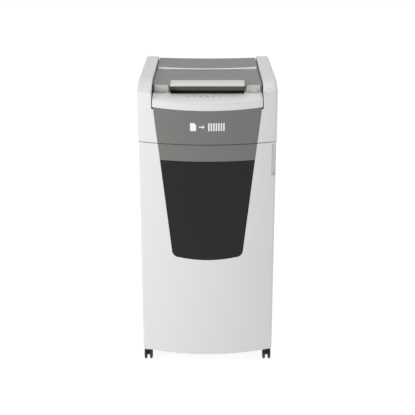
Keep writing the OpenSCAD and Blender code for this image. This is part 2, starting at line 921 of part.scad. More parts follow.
module cord_inlet() {
    w = inlet_w / 2 - 0.2;
    h = inlet_h / 2 - 0.2;
    color(dark) {
        difference() {
            block(inlet_x - w, back_y - 26, inlet_z - h, inlet_x + w, back_y - 0.6, inlet_z + h);
            block(inlet_x - w + 2, back_y - 18, inlet_z - h + 2, inlet_x + w - 2, back_y,
                inlet_z + h - 2);
        }
        block(inlet_x - w - 3, back_y - wall - 2, inlet_z - h - 3, inlet_x + w + 3, back_y - wall,
            inlet_z - h);
        block(inlet_x - w - 3, back_y - wall - 2, inlet_z + h, inlet_x + w + 3, back_y - wall,
            inlet_z + h + 3);
    }
    color(steel) for (p = [[-7, -2], [7, -2], [0, 2]])
        block(inlet_x + p[0] - 1, back_y - 19, inlet_z + p[1] - 2, inlet_x + p[0] + 1, back_y - 5,
            inlet_z + p[1] + 2);
}

module power_switch() {
    w = switch_w / 2 - 0.2;
    h = switch_h / 2 - 0.2;
    color(dark) difference() {
        union() {
            block(switch_x - w, back_y - 22, inlet_z - h, switch_x + w, back_y - 0.4, inlet_z + h);
            block(switch_x - w - 3, back_y - wall - 2, inlet_z - h - 3, switch_x + w + 3,
                back_y - wall, inlet_z + h + 3);
        }
        block(switch_x - w + 1.5, back_y - 12, inlet_z - h + 1.5, switch_x + w - 1.5, back_y + 1,
            inlet_z + h - 1.5);
    }
    color(steel) bar_x(switch_x - w + 1, switch_x + w - 1, rocker_y, inlet_z, rocker_r);
}

module power_rocker() {
    w = switch_w / 2 - 2.2;
    h = switch_h / 2 - 2.6;
    color(dark) difference() {
        translate([0, rocker_y, inlet_z]) rotate([rocker_tilt, 0, 0]) along_x(switch_x - w,
            switch_x + w) polygon([
            [-1, 0.6 - h], [3.4, 0.2 - h], [2.4, 0], [3.4, h - 0.2], [-1, h - 0.6], [-2.6, 0]
        ]);
        bar_x(-far, far, rocker_y, inlet_z, rocker_r + running);
    }
}

module cover_screws() {
    color(steel) {
        for (s = rear_screws) bar_y(back_y - 8, back_y - 0.2, s[0], s[1], screw_r);
        for (s = back_screws) bar_y(cab_back - 10, cab_back + sheet, s[0], s[1], screw_r);
    }
}

// ---- lid ----

// Front part of the lid in (y, z), a little lower than the part behind the crease
module lid_low_profile() {
    polygon([
        [lid_front, lid_rim], [barrel_y - 1, lid_rim],
        [barrel_y - 1, lid_top - lid_step], [lid_front, lid_top - lid_front_drop]
    ]);
}

// Rear part of the lid in (y, z), which ends in a barrel round the hinge
module lid_high_profile() {
    rect(crease_y - 1, lid_rim, barrel_y, lid_top);
    translate([barrel_y, barrel_z]) circle(r = barrel_r);
}

// Rear top of the lid in (x, z), dished from side to side
module dished_outline() {
    polygon(concat(
        [[-lid_half, 0], [lid_half, 0]],
        [for (i = [0 : dish_steps]) let (u = 1 - 2 * i / dish_steps)
            [u * lid_half, lid_top - dish * (1 - u * u)]]
    ));
}

module lid() {
    x = lid_half;
    ceiling = lid_top - lid_front_drop - wall;
    cheek = handle_half + 1.5;
    setback = lid_front + handle_setback;
    color(grey) {
        difference() {
            union() {
                along_x(-x, x) lid_low_profile();
                intersection() {
                    along_x(-x, x) lid_high_profile();
                    along_y(lid_front, barrel_y + barrel_r + 1) dished_outline();
                    bar_z(0, far, 0, crease_y + crease_r, crease_r, $fn = 720);
                }
            }
            block(wall - x, lid_front + wall, 0, x - wall, barrel_y - barrel_r - 2, ceiling);
            block(-handle_half - 1, -far, 0, handle_half + 1, setback, far);
            block(-paper_w / 2, slot_y0, 0, paper_w / 2, slot_y1, far);
            bar_x(14 - x, x - 14, barrel_y, barrel_z, barrel_r - wall);
            bar_x(-far, far, barrel_y, barrel_z, lid_pin_d / 2 + running);
        }
        both_sides() block(cheek, lid_front + 1, lid_rim, cheek + 2.5, setback + wall, ceiling + 1);
        block(-cheek - 1, setback, lid_rim, cheek + 1, setback + wall, ceiling + 1);
    }
}

module lid_handle() {
    z0 = lid_top - lid_front_drop;
    color(pale_grey) along_x(-handle_half, handle_half) difference() {
        union() {
            polygon([
                [handle_tail, z0 + 2.2], [handle_tail, z0 + 6], [lid_front + handle_setback, z0 + 7.4],
                [handle_nose + 8, z0 + 5], [handle_nose + 5, z0 - 5.5],
                    [lid_front + handle_setback - 0.4, z0 - 6],
                [lid_front + handle_setback - 0.4, z0 + 2.2]
            ]);
            translate([handle_nose + 5.4, z0 - 0.2]) circle(r = 5.4);
        }
    }
}

module lid_corners() {
    color(pale_grey) both_sides() difference() {
        block(handle_half + 6.5, lid_front - 5, lid_rim + 0.2, lid_half - 5, lid_front,
            lid_top - lid_front_drop - 1);
        for (x = [handle_half + 13, lid_half - 14])
            block(x, lid_front - 6, lid_rim - 1, x + 5, lid_front - 2, lid_rim + 7);
    }
}

module lid_liner() {
    x = lid_half - wall - 0.3;
    y0 = lid_front + handle_setback + wall + 0.3;
    y1 = barrel_y - barrel_r - 2.3;
    chute = 2;
    color(dark) difference() {
        union() {
            block(-x, y0, liner_z, x, y1, liner_z + 2);
            block(-paper_w / 2 - chute, slot_y0 - chute, liner_z - 1.5,
                paper_w / 2 + chute, slot_y1 + chute, lid_top - lid_front_drop - wall - 0.5);
        }
        block(-paper_w / 2, slot_y0, 0, paper_w / 2, slot_y1, far);
        for (sx = [-1, 1]) for (y = spring_ys) bar_z(0, far, sx * spring_x, y, spring_r - 2);
    }
}

module lid_hinge_pins() {
    color(steel) both_sides() {
        bar_x(lid_half - 12, shoulder_x, barrel_y, barrel_z, lid_pin_d / 2);
        bar_x(lid_half + 0.6, shoulder_x, barrel_y, barrel_z, lid_pin_d / 2 + 2.5);
    }
}

module pressure_plate() {
    gap = 2;
    color(pale_grey) difference() {
        union() {
            block(-platen_half, platen_front, platen_z, platen_half, platen_back, platen_z + platen_t);
            for (sx = [-1, 1]) for (y = spring_ys) bar_z(platen_z, liner_z + 4, sx * spring_x, y,
                spring_r - 2.6);
        }
        block(-platen_slot, slot_y0 - 2 - gap, 0, platen_slot, slot_y1 + 2 + gap, far);
    }
}

module platen_springs() {
    color(steel) for (sx = [-1, 1]) for (y = spring_ys) difference() {
        bar_z(platen_z + platen_t, liner_z, sx * spring_x, y, spring_r);
        bar_z(0, far, sx * spring_x, y, spring_r - 1.4);
    }
}

// ---- paper tray ----

module paper_tray() {
    w = tray_half + tray_wall;
    rim = shoulder_x - 1;
    color(dark) difference() {
        union() {
            block(-w, tray_front, tray_z, w, tray_back, tray_rim_z);
            block(-rim, tray_front - 3, tray_rim_z - 3, rim, tray_back + 4, tray_rim_z);
        }
        block(-tray_half, tray_front + tray_wall, tray_z + tray_t, tray_half,
            tray_back - tray_wall, far);
        block(-paper_w / 2, throat_y - 9, 0, paper_w / 2, throat_y + 9, far);
        for (x = rollers_x) for (y = [front_feed_y, rear_feed_y])
            block(x - roller_l / 2 - 2, y - roller_r + 1, 0, x + roller_l / 2 + 2,
                y + roller_r - 1, far);
    }
}

// ---- cutting block ----

module block_plate(side) {
    x0 = side > 0 ? plate_x : -plate_out;
    y1 = side > 0 ? plate_y1 : rear_feed_y + 16;
    color(steel) difference() {
        block(x0, plate_y0, deck_z, x0 + plate_t, y1, plate_top);
        for (y = [front_shaft_y, rear_shaft_y]) bar_x(-far, far, y, shaft_z, bearing_r);
        for (y = [front_feed_y, rear_feed_y]) bar_x(-far, far, y, feed_z, feed_r + running);
        for (p = rod_spots) bar_x(-far, far, p[0], p[1], rod_r);
        bar_x(-far, far, reduction_y, shaft_z, reduction_r + running);
        bar_x(-far, far, motor_y, shaft_z, motor_shaft_r + 1);
    }
}

module block_plate_left() { block_plate(-1); }
module block_plate_right() { block_plate(1); }

module tie_rods() {
    color(steel) for (p = rod_spots) {
        bar_x(-plate_out - 1, plate_out + 1, p[0], p[1], rod_r);
    }
}

module cutter_bearings() {
    color(steel) for (y = [front_shaft_y, rear_shaft_y]) for (x0 = [-plate_out, plate_x]) difference() {
        bar_x(x0, x0 + plate_t, y, shaft_z, bearing_r);
        bar_x(-far, far, y, shaft_z, journal_r + running);
    }
}

// One disc outline in (y, z) with hooked teeth
module disc_outline(turn) {
    hooks = 6;
    depth = 4;
    difference() {
        circle(r = disc_r);
        for (i = [0 : hooks - 1]) rotate(turn + i * 360 / hooks)
            polygon([[disc_r - depth, 0], [disc_r + 2, 0], [disc_r + 2, 9]]);
    }
}

module cutter(y, shift, out_right) {
    first = -(discs - 1) / 2 * disc_pitch + shift - disc_pitch / 4;
    color(steel) {
        bar_x(1.5 - plate_x, plate_x - 1.5, y, shaft_z, spacer_r);
        bar_x(-shaft_end_x, plate_out + out_right, y, shaft_z, journal_r);
        bar_x(-belt_x - belt_w - 0.5, 0.5 - belt_x, y, shaft_z, pulley_r);
        for (i = [0 : discs - 1]) {
            x = first + i * disc_pitch - disc_made_t / 2;
            along_x(x, x + disc_made_t) translate([y, shaft_z]) disc_outline(i * 9);
        }
    }
}

module cutter_front() { cutter(front_shaft_y, 0, 1); }
module cutter_rear() { cutter(rear_shaft_y, disc_pitch / 2, gear_t + 3); }

module strippers() {
    bar_t = 6;
    tip = spacer_r + 0.8;
    finger = disc_pitch - disc_made_t - 1;
    z0 = shaft_z - 12;
    first = -(discs - 1) / 2 * disc_pitch - disc_pitch / 4;
    color(steel) {
        block(-plate_x, front_shaft_y - disc_r - 1 - bar_t, z0, plate_x,
            front_shaft_y - disc_r - 1, z0 + 10);
        block(-plate_x, rear_shaft_y + disc_r + 1, z0, plate_x, rear_shaft_y + disc_r + 1 + bar_t,
            z0 + 10);
        for (i = [0 : discs - 2]) {
            x = first + (i + 0.5) * disc_pitch - finger / 2;
            block(x, front_shaft_y - disc_r - 2, z0 + 2, x + finger, front_shaft_y - tip, z0 + 8);
            block(x + disc_pitch / 2, rear_shaft_y + tip, z0 + 2, x + disc_pitch / 2 + finger,
                rear_shaft_y + disc_r + 2, z0 + 8);
        }
    }
}

module cutter_gear_front() {
    color(steel) gear(-gear_x - gear_t, gear_t, front_shaft_y, shaft_z, cutter_module,
        cutter_teeth, 0, journal_r);
}

module cutter_gear_rear() {
    color(steel) gear(-gear_x - gear_t, gear_t, rear_shaft_y, shaft_z, cutter_module, cutter_teeth,
        180 + 180 / cutter_teeth, journal_r);
}

module drive_gear() {
    color(steel) gear(gear_x, gear_t, rear_shaft_y, shaft_z, drive_module, drive_teeth, 0, journal_r);
}

module reduction_gear() {
    color(steel) {
        gear(gear_x, gear_t + 1, reduction_y, shaft_z, drive_module, small_teeth,
            180 + 180 / small_teeth, reduction_r);
        gear(second_gear_x - 1, gear_t, reduction_y, shaft_z, motor_module, big_teeth, 0, reduction_r);
        bar_x(plate_x, second_gear_x + gear_t, reduction_y, shaft_z, reduction_r);
    }
}

module motor() {
    color(steel) difference() {
        union() {
            bar_x(plate_x - motor_l, plate_x, motor_y, shaft_z, motor_r);
            bar_x(plate_x - motor_l - 8, plate_x - motor_l + 1, motor_y, shaft_z, motor_r * 0.6);
        }
        bar_x(-far, far, motor_y, shaft_z, motor_shaft_r + running);
    }
}

module motor_shaft() {
    fan_x = plate_x - motor_l - 24;
    color(steel) {
        bar_x(fan_x - 2, second_gear_x + gear_t + 1, motor_y, shaft_z, motor_shaft_r);
        gear(second_gear_x - 1, gear_t, motor_y, shaft_z, motor_module, pinion_teeth,
            180 + 180 / pinion_teeth, motor_shaft_r - 0.5);
    }
    color(dark) {
        bar_x(fan_x, fan_x + 12, motor_y, shaft_z, 9);
        for (i = [0 : 5]) translate([0, motor_y, shaft_z]) rotate([i * 60, 0, 0])
            block(fan_x, -1, 5, fan_x + 12, 1, motor_r - 4);
    }
}

module feed_shaft(y) {
    color(dark) {
        bar_x(-shaft_end_x, plate_out + 2, y, feed_z, feed_r);
        bar_x(-belt_x - belt_w - 0.5, 0.5 - belt_x, y, feed_z, pulley_r);
        for (x = rollers_x) bar_x(x - roller_l / 2, x + roller_l / 2, y, feed_z, roller_r);
    }
}

module feed_shaft_front() { feed_shaft(front_feed_y); }
module feed_shaft_rear() { feed_shaft(rear_feed_y); }

// Belt outline in (y, z) round two equal pulleys, offset outwards
module belt_outline(y0, y1, offset) {
    r = pulley_r + offset;
    length = sqrt(pow(y1 - y0, 2) + pow(feed_z - shaft_z, 2));
    translate([y0, shaft_z]) rotate(atan2(feed_z - shaft_z, y1 - y0)) {
        circle(r = r);
        rect(0, -r, length, r);
        translate([length, 0]) circle(r = r);
    }
}

module feed_belts() {
    slack = 0.3;
    color(dark) for (y = [[front_shaft_y, front_feed_y], [rear_shaft_y, rear_feed_y]])
        along_x(-belt_x - belt_w, -belt_x) difference() {
            belt_outline(y[0], y[1], slack + belt_t);
            belt_outline(y[0], y[1], slack);
        }
}

base_tray();
caster_sockets();
caster_fl_fork();
caster_fr_fork();
caster_rl_fork();
caster_rr_fork();
caster_fl_wheels();
caster_fr_wheels();
caster_rl_wheels();
caster_rr_wheels();
side_panel_left();
side_panel_right();
back_panel();
front_frame();
deck_frame();
bin_runners();
bin();
door_shell();
door_window();
door_trim();
door_liner();
door_grip();
door_hinge_bottom();
door_hinge_top();
door_switch();
shoulder_left();
shoulder_right();
front_panel();
control_strip();
control_boards();
power_board();
rear_cover();
cord_inlet();
power_switch();
power_rocker();
cover_screws();
lid();
lid_handle();
lid_corners();
lid_liner();
lid_hinge_pins();
pressure_plate();
platen_springs();
paper_tray();
block_plate_left();
block_plate_right();
tie_rods();
cutter_front();
cutter_rear();
cutter_bearings();
strippers();
cutter_gear_front();
cutter_gear_rear();
drive_gear();
reduction_gear();
motor();
motor_shaft();
feed_shaft_front();
feed_shaft_rear();
feed_belts();
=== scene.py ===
# %% [markdown]
# # A tall paper shredder, piece by piece
# The object is an office shredder on casters: a white cabinet with a bowed door and
# a dark window, and a head with a grey lid, a control strip and the cutting works.
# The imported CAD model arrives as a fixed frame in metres, with X to the viewer's
# right, Y to the back and Z up. Everything made here is placed by that frame, so
# the first step is to load it and read its outer box.

# %% Load the frame
import json
import math
import bpy
import numpy as np
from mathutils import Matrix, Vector


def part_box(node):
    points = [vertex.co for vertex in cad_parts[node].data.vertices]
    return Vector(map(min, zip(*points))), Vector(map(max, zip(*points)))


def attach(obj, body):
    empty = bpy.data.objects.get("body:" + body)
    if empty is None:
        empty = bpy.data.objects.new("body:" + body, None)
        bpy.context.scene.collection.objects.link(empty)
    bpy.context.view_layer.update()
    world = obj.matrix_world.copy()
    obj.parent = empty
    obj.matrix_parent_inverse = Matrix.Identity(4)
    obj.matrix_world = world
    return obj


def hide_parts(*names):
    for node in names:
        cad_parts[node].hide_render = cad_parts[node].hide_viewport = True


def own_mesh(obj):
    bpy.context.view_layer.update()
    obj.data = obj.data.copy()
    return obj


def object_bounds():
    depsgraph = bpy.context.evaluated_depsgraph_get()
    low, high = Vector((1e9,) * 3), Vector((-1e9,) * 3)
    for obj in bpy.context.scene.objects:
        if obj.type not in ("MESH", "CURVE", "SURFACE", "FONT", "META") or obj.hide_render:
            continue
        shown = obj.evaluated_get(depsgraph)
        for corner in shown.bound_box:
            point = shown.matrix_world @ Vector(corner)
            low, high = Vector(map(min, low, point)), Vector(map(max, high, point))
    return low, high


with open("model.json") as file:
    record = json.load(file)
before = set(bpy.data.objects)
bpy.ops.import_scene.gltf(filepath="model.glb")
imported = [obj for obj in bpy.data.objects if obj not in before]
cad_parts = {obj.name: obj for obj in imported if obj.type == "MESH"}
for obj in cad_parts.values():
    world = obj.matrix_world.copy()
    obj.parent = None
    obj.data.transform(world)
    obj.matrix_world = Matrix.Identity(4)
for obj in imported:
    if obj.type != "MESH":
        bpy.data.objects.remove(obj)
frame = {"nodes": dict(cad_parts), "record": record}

cad_low, cad_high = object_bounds()
nodes = frame["nodes"]
made = {}
print("CAD box", tuple(cad_low), tuple(cad_high), "with", len(nodes), "nodes")

# %% [markdown]
# ## Floor, light and camera
# A shredder stands on the floor of a bright room. A very large pale floor fills the
# view and glows a little, so that it reads as white. A white world gives soft light
# from everywhere. The broad key lamp on the front left makes the left of the bowed
# door brighter than the right, a small fill lamp lifts the right of the head, and a
# top lamp lights the lid. The camera is set first, because its angle decides which
# surfaces need the most care.

# %% Camera
scene = bpy.context.scene
scene.view_settings.view_transform = "Standard"
camera_data = bpy.data.cameras.new("studio_camera")
camera_data.sensor_width = 36.0
camera_data.lens = 80.8
camera_data.clip_end = 100.0
camera = bpy.data.objects.new("studio_camera", camera_data)
scene.collection.objects.link(camera)
camera.location = (0.0, -2.976, 1.476)
camera.rotation_euler = (math.radians(90.0 - 18.8), 0.0, 0.0)
scene.camera = camera
print("camera stands", round(abs(camera.location.y), 2), "m in front")


# %% Floor and lights
def lamp(name, place, target, size, power):
    """A square soft box at a place, turned so that its face looks at a target."""
    data = bpy.data.lights.new(name, "AREA")
    data.shape = "SQUARE"
    data.size = size
    data.energy = power
    box = bpy.data.objects.new(name, data)
    scene.collection.objects.link(box)
    box.location = place
    aim = Vector(target) - Vector(place)
    box.rotation_euler = aim.to_track_quat("-Z", "Y").to_euler()
    return box


world = bpy.data.worlds.new("studio_world")
world.use_nodes = True
world.node_tree.nodes["Background"].inputs["Color"].default_value = (1.0, 1.0, 1.0, 1.0)
world.node_tree.nodes["Background"].inputs["Strength"].default_value = 0.40
scene.world = world
lamp("key_lamp", (-2.2, -1.9, 1.7), (0.0, -0.1, 0.75), 1.6, 43.0)
lamp("fill_lamp", (1.1, -1.6, 2.3), (0.1, -0.2, 0.95), 0.6, 4.0)
lamp("top_lamp", (0.3, 0.6, 3.2), (0.0, 0.0, 0.6), 2.5, 34.0)

floor_mesh = bpy.data.meshes.new("floor")
reach = 30.0
floor_mesh.from_pydata(
    [(-reach, -reach, 0), (reach, -reach, 0), (reach, reach, 0), (-reach, reach, 0)], [], [(0, 1, 2, 3)])
floor = bpy.data.objects.new("floor", floor_mesh)
scene.collection.objects.link(floor)
floor_finish = bpy.data.materials.new("pale_floor")
floor_finish.use_nodes = True
floor_shader = floor_finish.node_tree.nodes["Principled BSDF"]
floor_grey, floor_glow = 0.25, 0.90
floor_shader.inputs["Base Color"].default_value = (floor_grey, floor_grey, floor_grey, 1.0)
floor_shader.inputs["Roughness"].default_value = 0.9
floor_shader.inputs["Emission Color"].default_value = (1.0, 1.0, 1.0, 1.0)
floor_shader.inputs["Emission Strength"].default_value = floor_glow
floor_mesh.materials.append(floor_finish)
print("floor is", 2 * reach, "m across")

# %% [markdown]
# ## Effects that several finishes share
# Real moulded plastic is never perfectly even: it has a fine spark-eroded texture,
# a faint cloudiness, dust on what faces up and dull marks where hands touch it. Each
# effect is one shader node group. A group gives only masks and heights, and every
# material mixes them into its own colour and roughness with its own amounts.


# %% Node group helpers
def new_group(name, numbers, outputs):
    """A shader node group with float inputs (name, value) and float outputs, with its end nodes."""
    tree = bpy.data.node_groups.new(name, "ShaderNodeTree")
    for label, value in numbers:
        socket = tree.interface.new_socket(name=label, in_out="INPUT", socket_type="NodeSocketFloat")
        socket.default_value = value
    for label in outputs:
        tree.interface.new_socket(name=label, in_out="OUTPUT", socket_type="NodeSocketFloat")
    return tree, tree.nodes.new("NodeGroupInput"), tree.nodes.new("NodeGroupOutput")


def maths(tree, operation, a, b, clamp=False):
    """One maths node: a and b are numbers or sockets; gives its output socket."""
    node = tree.nodes.new("ShaderNodeMath")
    node.operation = operation
    node.use_clamp = clamp
    for slot, value in zip(node.inputs, (a, b)):
        if isinstance(value, (int, float)):
            slot.default_value = value
        else:
            tree.links.new(value, slot)
    return node.outputs[0]


def noise(tree, scale, detail, stretch=(1.0, 1.0, 1.0)):
    """Noise on the object's own coordinates; scale is a socket or features per metre."""
    place = tree.nodes.new("ShaderNodeTexCoord")
    turn = tree.nodes.new("ShaderNodeMapping")
    turn.inputs["Scale"].default_value = stretch
    tree.links.new(place.outputs["Object"], turn.inputs["Vector"])
    node = tree.nodes.new("ShaderNodeTexNoise")
    node.inputs["Detail"].default_value = detail
    tree.links.new(turn.outputs["Vector"], node.inputs["Vector"])
    if isinstance(scale, (int, float)):
        node.inputs["Scale"].default_value = scale
    else:
        tree.links.new(scale, node.inputs["Scale"])
    return node.outputs["Fac"]


# %% Moulded grain, cloudiness, dust, hand marks and brushing
def make_grain():
    """Height = fine noise; Cloud = very broad noise, both 0 to 1."""
    tree, given, out = new_group("moulded_grain", [("Scale", 900.0), ("Cloud Scale", 5.0)],
                                 ["Height", "Cloud"])
    tree.links.new(noise(tree, given.outputs["Scale"], 2.0), out.inputs["Height"])
    tree.links.new(noise(tree, given.outputs["Cloud Scale"], 3.0), out.inputs["Cloud"])
    return tree


def make_dust():
    """Mask = upward part of the normal, sharpened, times broken noise, times Amount."""
    tree, given, out = new_group("settled_dust", [("Amount", 0.3), ("Scale", 60.0)], ["Mask"])
    geometry = tree.nodes.new("ShaderNodeNewGeometry")
    split = tree.nodes.new("ShaderNodeSeparateXYZ")
    tree.links.new(geometry.outputs["Normal"], split.inputs[0])
    up = maths(tree, "POWER", maths(tree, "MAXIMUM", split.outputs["Z"], 0.0), 4.0)
    broken = maths(tree, "MULTIPLY", up, noise(tree, given.outputs["Scale"], 6.0))
    tree.links.new(maths(tree, "MULTIPLY", broken, given.outputs["Amount"], True), out.inputs["Mask"])
    return tree


def make_marks():
    """Mask = noise above a threshold, spread softly: where hands have dulled the finish."""
    tree, given, out = new_group("hand_marks", [("Amount", 0.5), ("Scale", 14.0)], ["Mask"])
    patch = maths(tree, "SUBTRACT", noise(tree, given.outputs["Scale"], 5.0, (1.0, 1.0, 0.5)), 0.45)
    spread = maths(tree, "MULTIPLY", patch, 4.0, True)
    tree.links.new(maths(tree, "MULTIPLY", spread, given.outputs["Amount"], True), out.inputs["Mask"])
    return tree


def make_brushing():
    """Height and Shade = noise stretched a hundredfold along X, as rolled or ground steel shows."""
    tree, given, out = new_group("brushed_lines", [("Scale", 30.0)], ["Height", "Shade"])
    lines = noise(tree, given.outputs["Scale"], 4.0, (1.0, 60.0, 60.0))
    tree.links.new(lines, out.inputs["Height"])
    tree.links.new(noise(tree, 9.0, 4.0), out.inputs["Shade"])
    return tree


effects = {"grain": make_grain(), "dust": make_dust(), "marks": make_marks(), "brushing": make_brushing()}
print("node groups:", sorted(effects))

# %% [markdown]
# ## Finishes
# A finish is one Principled shader. Its base colour drifts a little between two
# close tints with the cloud mask and greys where dust lies, its roughness rises
# under dust and hand marks, and a Bump node turns the grain height into relief of a
# few hundredths of a millimetre. Constant sockets are set directly on the shader.


# %% Finish makers
def place_group(tree, effect, **amounts):
    """Puts a node group into a material with its own values."""
    node = tree.nodes.new("ShaderNodeGroup")
    node.node_tree = effects[effect]
    for label, value in amounts.items():
        node.inputs[label.replace("_", " ")].default_value = value
    return node


def blend_colour(tree, mask, first, second):
    """Colour mixed by a mask; first and second are colours or sockets."""
    node = tree.nodes.new("ShaderNodeMix")
    node.data_type = "RGBA"
    tree.links.new(mask, node.inputs[0])
    for slot, value in ((node.inputs[6], first), (node.inputs[7], second)):
        if isinstance(value, tuple):
            slot.default_value = (*value, 1.0)
        else:
            tree.links.new(value, slot)
    return node.outputs[2]


def shade(colour, factor):
    """A colour made lighter or darker by a factor."""
    return tuple(min(1.0, c * factor) for c in colour)


def moulded(name, colour, rough=0.4, grain=900.0, depth=0.00002, cloud=0.03, dust=0.25, coat=0.0, spec=0.5):
    """Moulded or painted finish: tinted by cloud, greyed by dust, roughened by marks, with fine relief."""
    finish = bpy.data.materials.new(name)
    finish.use_nodes = True
    tree = finish.node_tree
    shader = tree.nodes["Principled BSDF"]
    fine = place_group(tree, "grain", Scale=grain)
    settled = place_group(tree, "dust", Amount=dust)
    touched = place_group(tree, "marks", Amount=0.5)
    tint = blend_colour(tree, fine.outputs["Cloud"], shade(colour, 1.0 - cloud), shade(colour, 1.0 + cloud))
    grey = sum(colour) / 3.0 * 0.6 + 0.2
    dusty = blend_colour(tree, settled.outputs["Mask"], tint, (grey, grey, grey * 0.98))
    tree.links.new(dusty, shader.inputs["Base Color"])
    dulled = maths(tree, "MULTIPLY", touched.outputs["Mask"], 0.08)
    rougher = maths(tree, "ADD", maths(tree, "MULTIPLY", settled.outputs["Mask"], 0.3), dulled)
    tree.links.new(maths(tree, "ADD", rougher, rough, True), shader.inputs["Roughness"])
    relief = tree.nodes.new("ShaderNodeBump")
    relief.inputs["Strength"].default_value = 0.6
    relief.inputs["Distance"].default_value = depth
    tree.links.new(fine.outputs["Height"], relief.inputs["Height"])
    tree.links.new(relief.outputs["Normal"], shader.inputs["Normal"])
    shader.inputs["Coat Weight"].default_value = coat
    shader.inputs["Specular IOR Level"].default_value = spec
    return finish


def metal(name, colour, rough=0.35, depth=0.00003):
    """Bare metal: brushed lines vary colour, roughness and relief."""
    finish = bpy.data.materials.new(name)
    finish.use_nodes = True
    tree = finish.node_tree
    shader = tree.nodes["Principled BSDF"]
    lines = place_group(tree, "brushing")
    tint = blend_colour(tree, lines.outputs["Shade"], shade(colour, 0.82), shade(colour, 1.1))
    tree.links.new(tint, shader.inputs["Base Color"])
    wear = maths(tree, "MULTIPLY", lines.outputs["Height"], 0.25)
    tree.links.new(maths(tree, "ADD", wear, rough, True), shader.inputs["Roughness"])
    shader.inputs["Metallic"].default_value = 1.0
    relief = tree.nodes.new("ShaderNodeBump")
    relief.inputs["Distance"].default_value = depth
    relief.inputs["Strength"].default_value = 0.5
    tree.links.new(lines.outputs["Height"], relief.inputs["Height"])
    tree.links.new(relief.outputs["Normal"], shader.inputs["Normal"])
    return finish


def circuit(name, colour):
    """Circuit board: a brick pattern stands for tracks, and small cells for soldered pads."""
    finish = moulded(name, colour, rough=0.3, dust=0.1)
    tree = finish.node_tree
    shader = tree.nodes["Principled BSDF"]
    place = tree.nodes.new("ShaderNodeTexCoord")
    tracks = tree.nodes.new("ShaderNodeTexBrick")
    tracks.inputs["Scale"].default_value = 90.0
    tracks.inputs["Mortar Size"].default_value = 0.06
    tree.links.new(place.outputs["Object"], tracks.inputs["Vector"])
    cells = tree.nodes.new("ShaderNodeTexVoronoi")
    cells.inputs["Scale"].default_value = 220.0
    tree.links.new(place.outputs["Object"], cells.inputs["Vector"])
    pads = maths(tree, "LESS_THAN", cells.outputs["Distance"], 0.22)
    traced = blend_colour(tree, tracks.outputs["Fac"], colour, shade(colour, 1.9))
    tree.links.new(blend_colour(tree, pads, traced, (0.6, 0.6, 0.55)), shader.inputs["Base Color"])
    return finish


# %% The finishes of this shredder
finishes = {
    "white_plastic": moulded("white_plastic", (0.69, 0.69, 0.68), rough=0.42, depth=0.00003, cloud=0.012,
                             dust=0.12),
    "white_steel": moulded("white_steel", (0.66, 0.66, 0.65), rough=0.35, grain=350.0, cloud=0.015,
                           dust=0.2),
    "grey_plastic": moulded("grey_plastic", (0.155, 0.154, 0.147), rough=0.38, grain=1200.0, cloud=0.05,
                            dust=0.1),
    "lid_plastic": moulded("lid_plastic", (0.22, 0.22, 0.213), rough=0.36, grain=1200.0, cloud=0.05,
                           dust=0.12),
    "pale_plastic": moulded("pale_plastic", (0.56, 0.56, 0.54), rough=0.34, grain=1000.0, cloud=0.03,
                            dust=0.15),
    # The pale crease finish is a painted highlight: light on the raised rear edge of the lid, not a colour of
    # its plastic.
    "lip_plastic": moulded("lip_plastic", (0.66, 0.66, 0.64), rough=0.3, dust=0.0),
    "handle_plastic": moulded("handle_plastic", (0.68, 0.68, 0.64), rough=0.34, grain=1000.0, cloud=0.02,
                              dust=0.1),
    "smoked_window": moulded("smoked_window", (0.010, 0.010, 0.011), rough=0.24, grain=40.0, depth=0.00001,
                             cloud=0.1, dust=0.03, spec=0.22),
    "black_plastic": moulded("black_plastic", (0.035, 0.035, 0.036), rough=0.45, cloud=0.15, dust=0.3),
    "tyre": moulded("tyre", (0.03, 0.03, 0.03), rough=0.75, grain=500.0, depth=0.0001, cloud=0.2, dust=0.4),
    "zinc_steel": metal("zinc_steel", (0.62, 0.63, 0.64), rough=0.35),
    "tool_steel": metal("tool_steel", (0.42, 0.42, 0.43), rough=0.25),
    "circuit_board": circuit("circuit_board", (0.02, 0.12, 0.05)),
    "nylon": moulded("nylon", (0.72, 0.70, 0.62), rough=0.5, grain=700.0, cloud=0.05, dust=0.1),
    "roller_rubber": moulded("roller_rubber", (0.06, 0.058, 0.055), rough=0.7, grain=400.0, depth=0.0001,
                             cloud=0.2),
    "print_white": moulded("print_white", (0.84, 0.84, 0.83), rough=0.5, dust=0.0, cloud=0.02),
    "print_grey": moulded("print_grey", (0.33, 0.33, 0.33), rough=0.5, dust=0.0, cloud=0.05),
}
print(len(finishes), "finishes")

# %% [markdown]
# ## Making surfaces from arrays
# Most covers of this machine are thin curved sheets. Each is worked out as an array
# of points with rows and columns, which one function turns into a mesh of quads. The
# Solidify modifier then gives the sheet the wall of a real moulding, inwards, and a
# small Bevel rounds its rim, so that edges catch the light as moulded ones do.


# %% Sheets, joins and finishing
def grid_quads(rows, columns):
    """Quad (r, c), (r, c+1), (r+1, c+1), (r+1, c) for every cell of a grid, as indices."""
    at = np.arange(rows * columns).reshape(rows, columns)
    return np.stack([at[:-1, :-1], at[:-1, 1:], at[1:, 1:], at[1:, :-1]], axis=-1).reshape(-1, 4)


def join_grids(*grids):
    """Several (points, quads) as one; points of equal place are merged later."""
    points, quads, start = [], [], 0
    for p, q in grids:
        points.append(p.reshape(-1, 3))
        quads.append(q + start)
        start += points[-1].shape[0]
    return np.concatenate(points), np.concatenate(quads)


def as_grid(points, inside=(0.0, 0.2, 0.4)):
    """An array (rows, columns, 3) as points and quads, turned to face away from a point inside."""
    quads = grid_quads(points.shape[0], points.shape[1])
    corners = points.reshape(-1, 3)[quads]
    facing = np.cross(corners[:, 2] - corners[:, 0], corners[:, 3] - corners[:, 1])
    outwards = np.sum(facing * (corners.mean(axis=1) - np.array(inside)))
    return points, quads if outwards > 0 else quads[:, ::-1]


